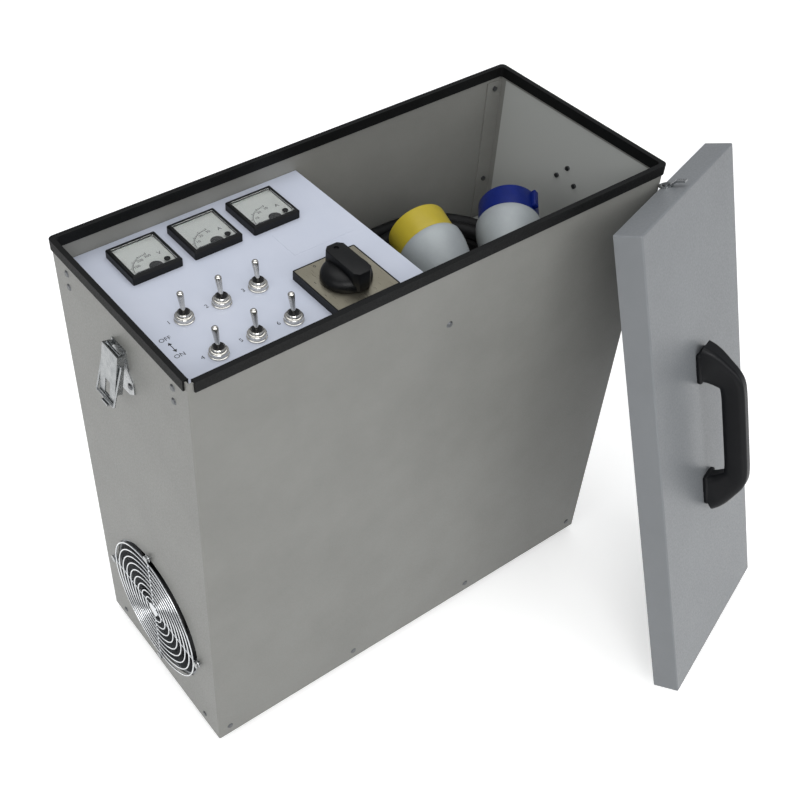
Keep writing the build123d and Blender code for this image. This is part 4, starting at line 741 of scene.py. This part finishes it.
def coil_point(wound, layers):
    """A point of the winding, by the angle wound since the cord left its gland: outer turn of the
    upper layer, inner turn, down to the lower layer, and out to its outer turn."""
    upper, lower = layers

    def ease(start, end):
        share = min(1.0, max(0.0, (wound - start) / (end - start)))
        return share * share * (3 - 2 * share)

    radius = LEAD_RADIUS + (INNER_TURN - LEAD_RADIUS) * (ease(280, 360) - ease(880, 935))
    height = upper + (lower - upper) * ease(560, 640)
    angle = math.radians(90 - wound)
    return (COIL_CENTRE[0] + radius * math.cos(angle), COIL_CENTRE[1] + radius * math.sin(angle),
            height)


def cord_points(circuit, lead_angle, route):
    """Gland, coil, lead and plug: the whole cord as control points, in millimetres."""
    layers = LAYERS[circuit]
    points = [(GLAND_FACE_X, COIL_CENTRE[1] + LEAD_RADIUS, layers[0]),
              (GLAND_FACE_X + 30, COIL_CENTRE[1] + LEAD_RADIUS, layers[0]),
              (GLAND_FACE_X + 58, COIL_CENTRE[1] + LEAD_RADIUS, layers[0])]
    last_turn = 90 - lead_angle + 1080
    steps = round((last_turn - 10) / 15)
    points += [coil_point(8 + (last_turn - 16) * i / steps, layers) for i in range(steps + 1)]
    angle = math.radians(lead_angle)
    away = (math.sin(angle), -math.cos(angle))
    free = math.sqrt(LEAVING_REACH ** 2 - LEAD_RADIUS ** 2) + 6.0
    touch = coil_point(last_turn, layers)
    for reach in (free * 0.45, free):
        points.append((touch[0] + away[0] * reach, touch[1] + away[1] * reach, layers[1]))
    return points + route


def make_cord(name, points, replaced):
    """A round cord along its points, at its real length."""
    curve = bpy.data.curves.new(name, "CURVE")
    curve.dimensions = "3D"
    curve.bevel_depth = CABLE_DIAMETER / 2 * MM
    curve.bevel_resolution = 6
    curve.resolution_u = 6
    spline = curve.splines.new("NURBS")
    spline.points.add(len(points) - 1)
    for point, place in zip(spline.points, points):
        point.co = (*[v * MM for v in place], 1.0)
    spline.order_u = 3
    spline.use_endpoint_u = True
    cord = bpy.data.objects.new(name, curve)
    scene.collection.objects.link(cord)
    curve.materials.append(cable_rubber)
    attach(cord, "case")
    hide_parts(*replaced)


make_cord(
    "cord_110",
    cord_points("110", -63.0, [(81.8, -88.3, 342.0), (57.5, -97.3, 343.1), (35.1, -99.1, 355.9),
                               (22.4, -99.8, 378.3), (33.2, -100.2, 400.2),
                               (48.8, -93.5, 419.3), (51.6, -78.8, 422.2)]),
    ["coil_110", "cable_110"])
make_cord(
    "cord_230",
    cord_points("230", -34.5, [(130.0, -92.0, 368.3), (110.9, -100.2, 368.5),
                               (89.4, -98.9, 377.7), (85.9, -100.3, 400.9),
                               (102.5, -87.4, 411.5), (113.6, -70.4, 413.3)]),
    ["coil_230", "cable_230"])


# ---- floor and light ----
# What the floor adds where it is seen, so that it reads as white.
FLOOR_GLOW = 0.42
floor_material, floor_tree, floor_shader = new_material("floor_white", "F0F0EF", 0.7)
rays = node(floor_tree, "ShaderNodeLightPath")
seen = node(floor_tree, "ShaderNodeMath", {"operation": "MAXIMUM"}, i0=rays.outputs["Is Camera Ray"],
            i1=rays.outputs["Is Glossy Ray"])
seen = node(floor_tree, "ShaderNodeMath", {"operation": "MAXIMUM"}, i0=seen.outputs[0],
            i1=rays.outputs["Is Transmission Ray"])
glow = node(floor_tree, "ShaderNodeMath", {"operation": "MULTIPLY"}, i0=seen.outputs[0],
            i1=FLOOR_GLOW)
floor_tree.links.new(glow.outputs[0], floor_shader.inputs["Emission Strength"])
floor_shader.inputs["Emission Color"].default_value = (1, 1, 1, 1)
deselect()
bpy.ops.mesh.primitive_plane_add(size=12, location=(0, 0, 0))
floor = bpy.context.object
floor.name = "floor"
floor.data.materials.append(floor_material)


def soft_light(name, place, aim, size, power):
    """A rectangular lamp, in metres and watts."""
    data = bpy.data.lights.new(name, "AREA")
    data.shape = "RECTANGLE"
    data.size, data.size_y = size
    data.energy = power
    lamp = bpy.data.objects.new(name, data)
    lamp.location = place
    lamp.rotation_euler = (Vector(aim) - Vector(place)).to_track_quat("-Z", "Y").to_euler()
    scene.collection.objects.link(lamp)


soft_light("ceiling_light", (0.2, 0.4, 2.6), (0.0, 0.0, 0.3), (2.4, 2.0), 26)
soft_light("left_light", (-2.2, -0.6, 1.6), (0.0, 0.0, 0.3), (1.6, 1.4), 12)
soft_light("front_light", (0.6, -2.4, 1.5), (0.0, 0.0, 0.3), (1.8, 1.2), 17)
soft_light("camera_side_light", (-1.0, -1.6, 2.0), (0.1, 0.0, 0.35), (1.2, 1.2), 24)
world = bpy.data.worlds.new("studio")
world.use_nodes = True
world.node_tree.nodes["Background"].inputs["Color"].default_value = linear("E6E8EB")
world.node_tree.nodes["Background"].inputs["Strength"].default_value = 0.48
scene.world = world
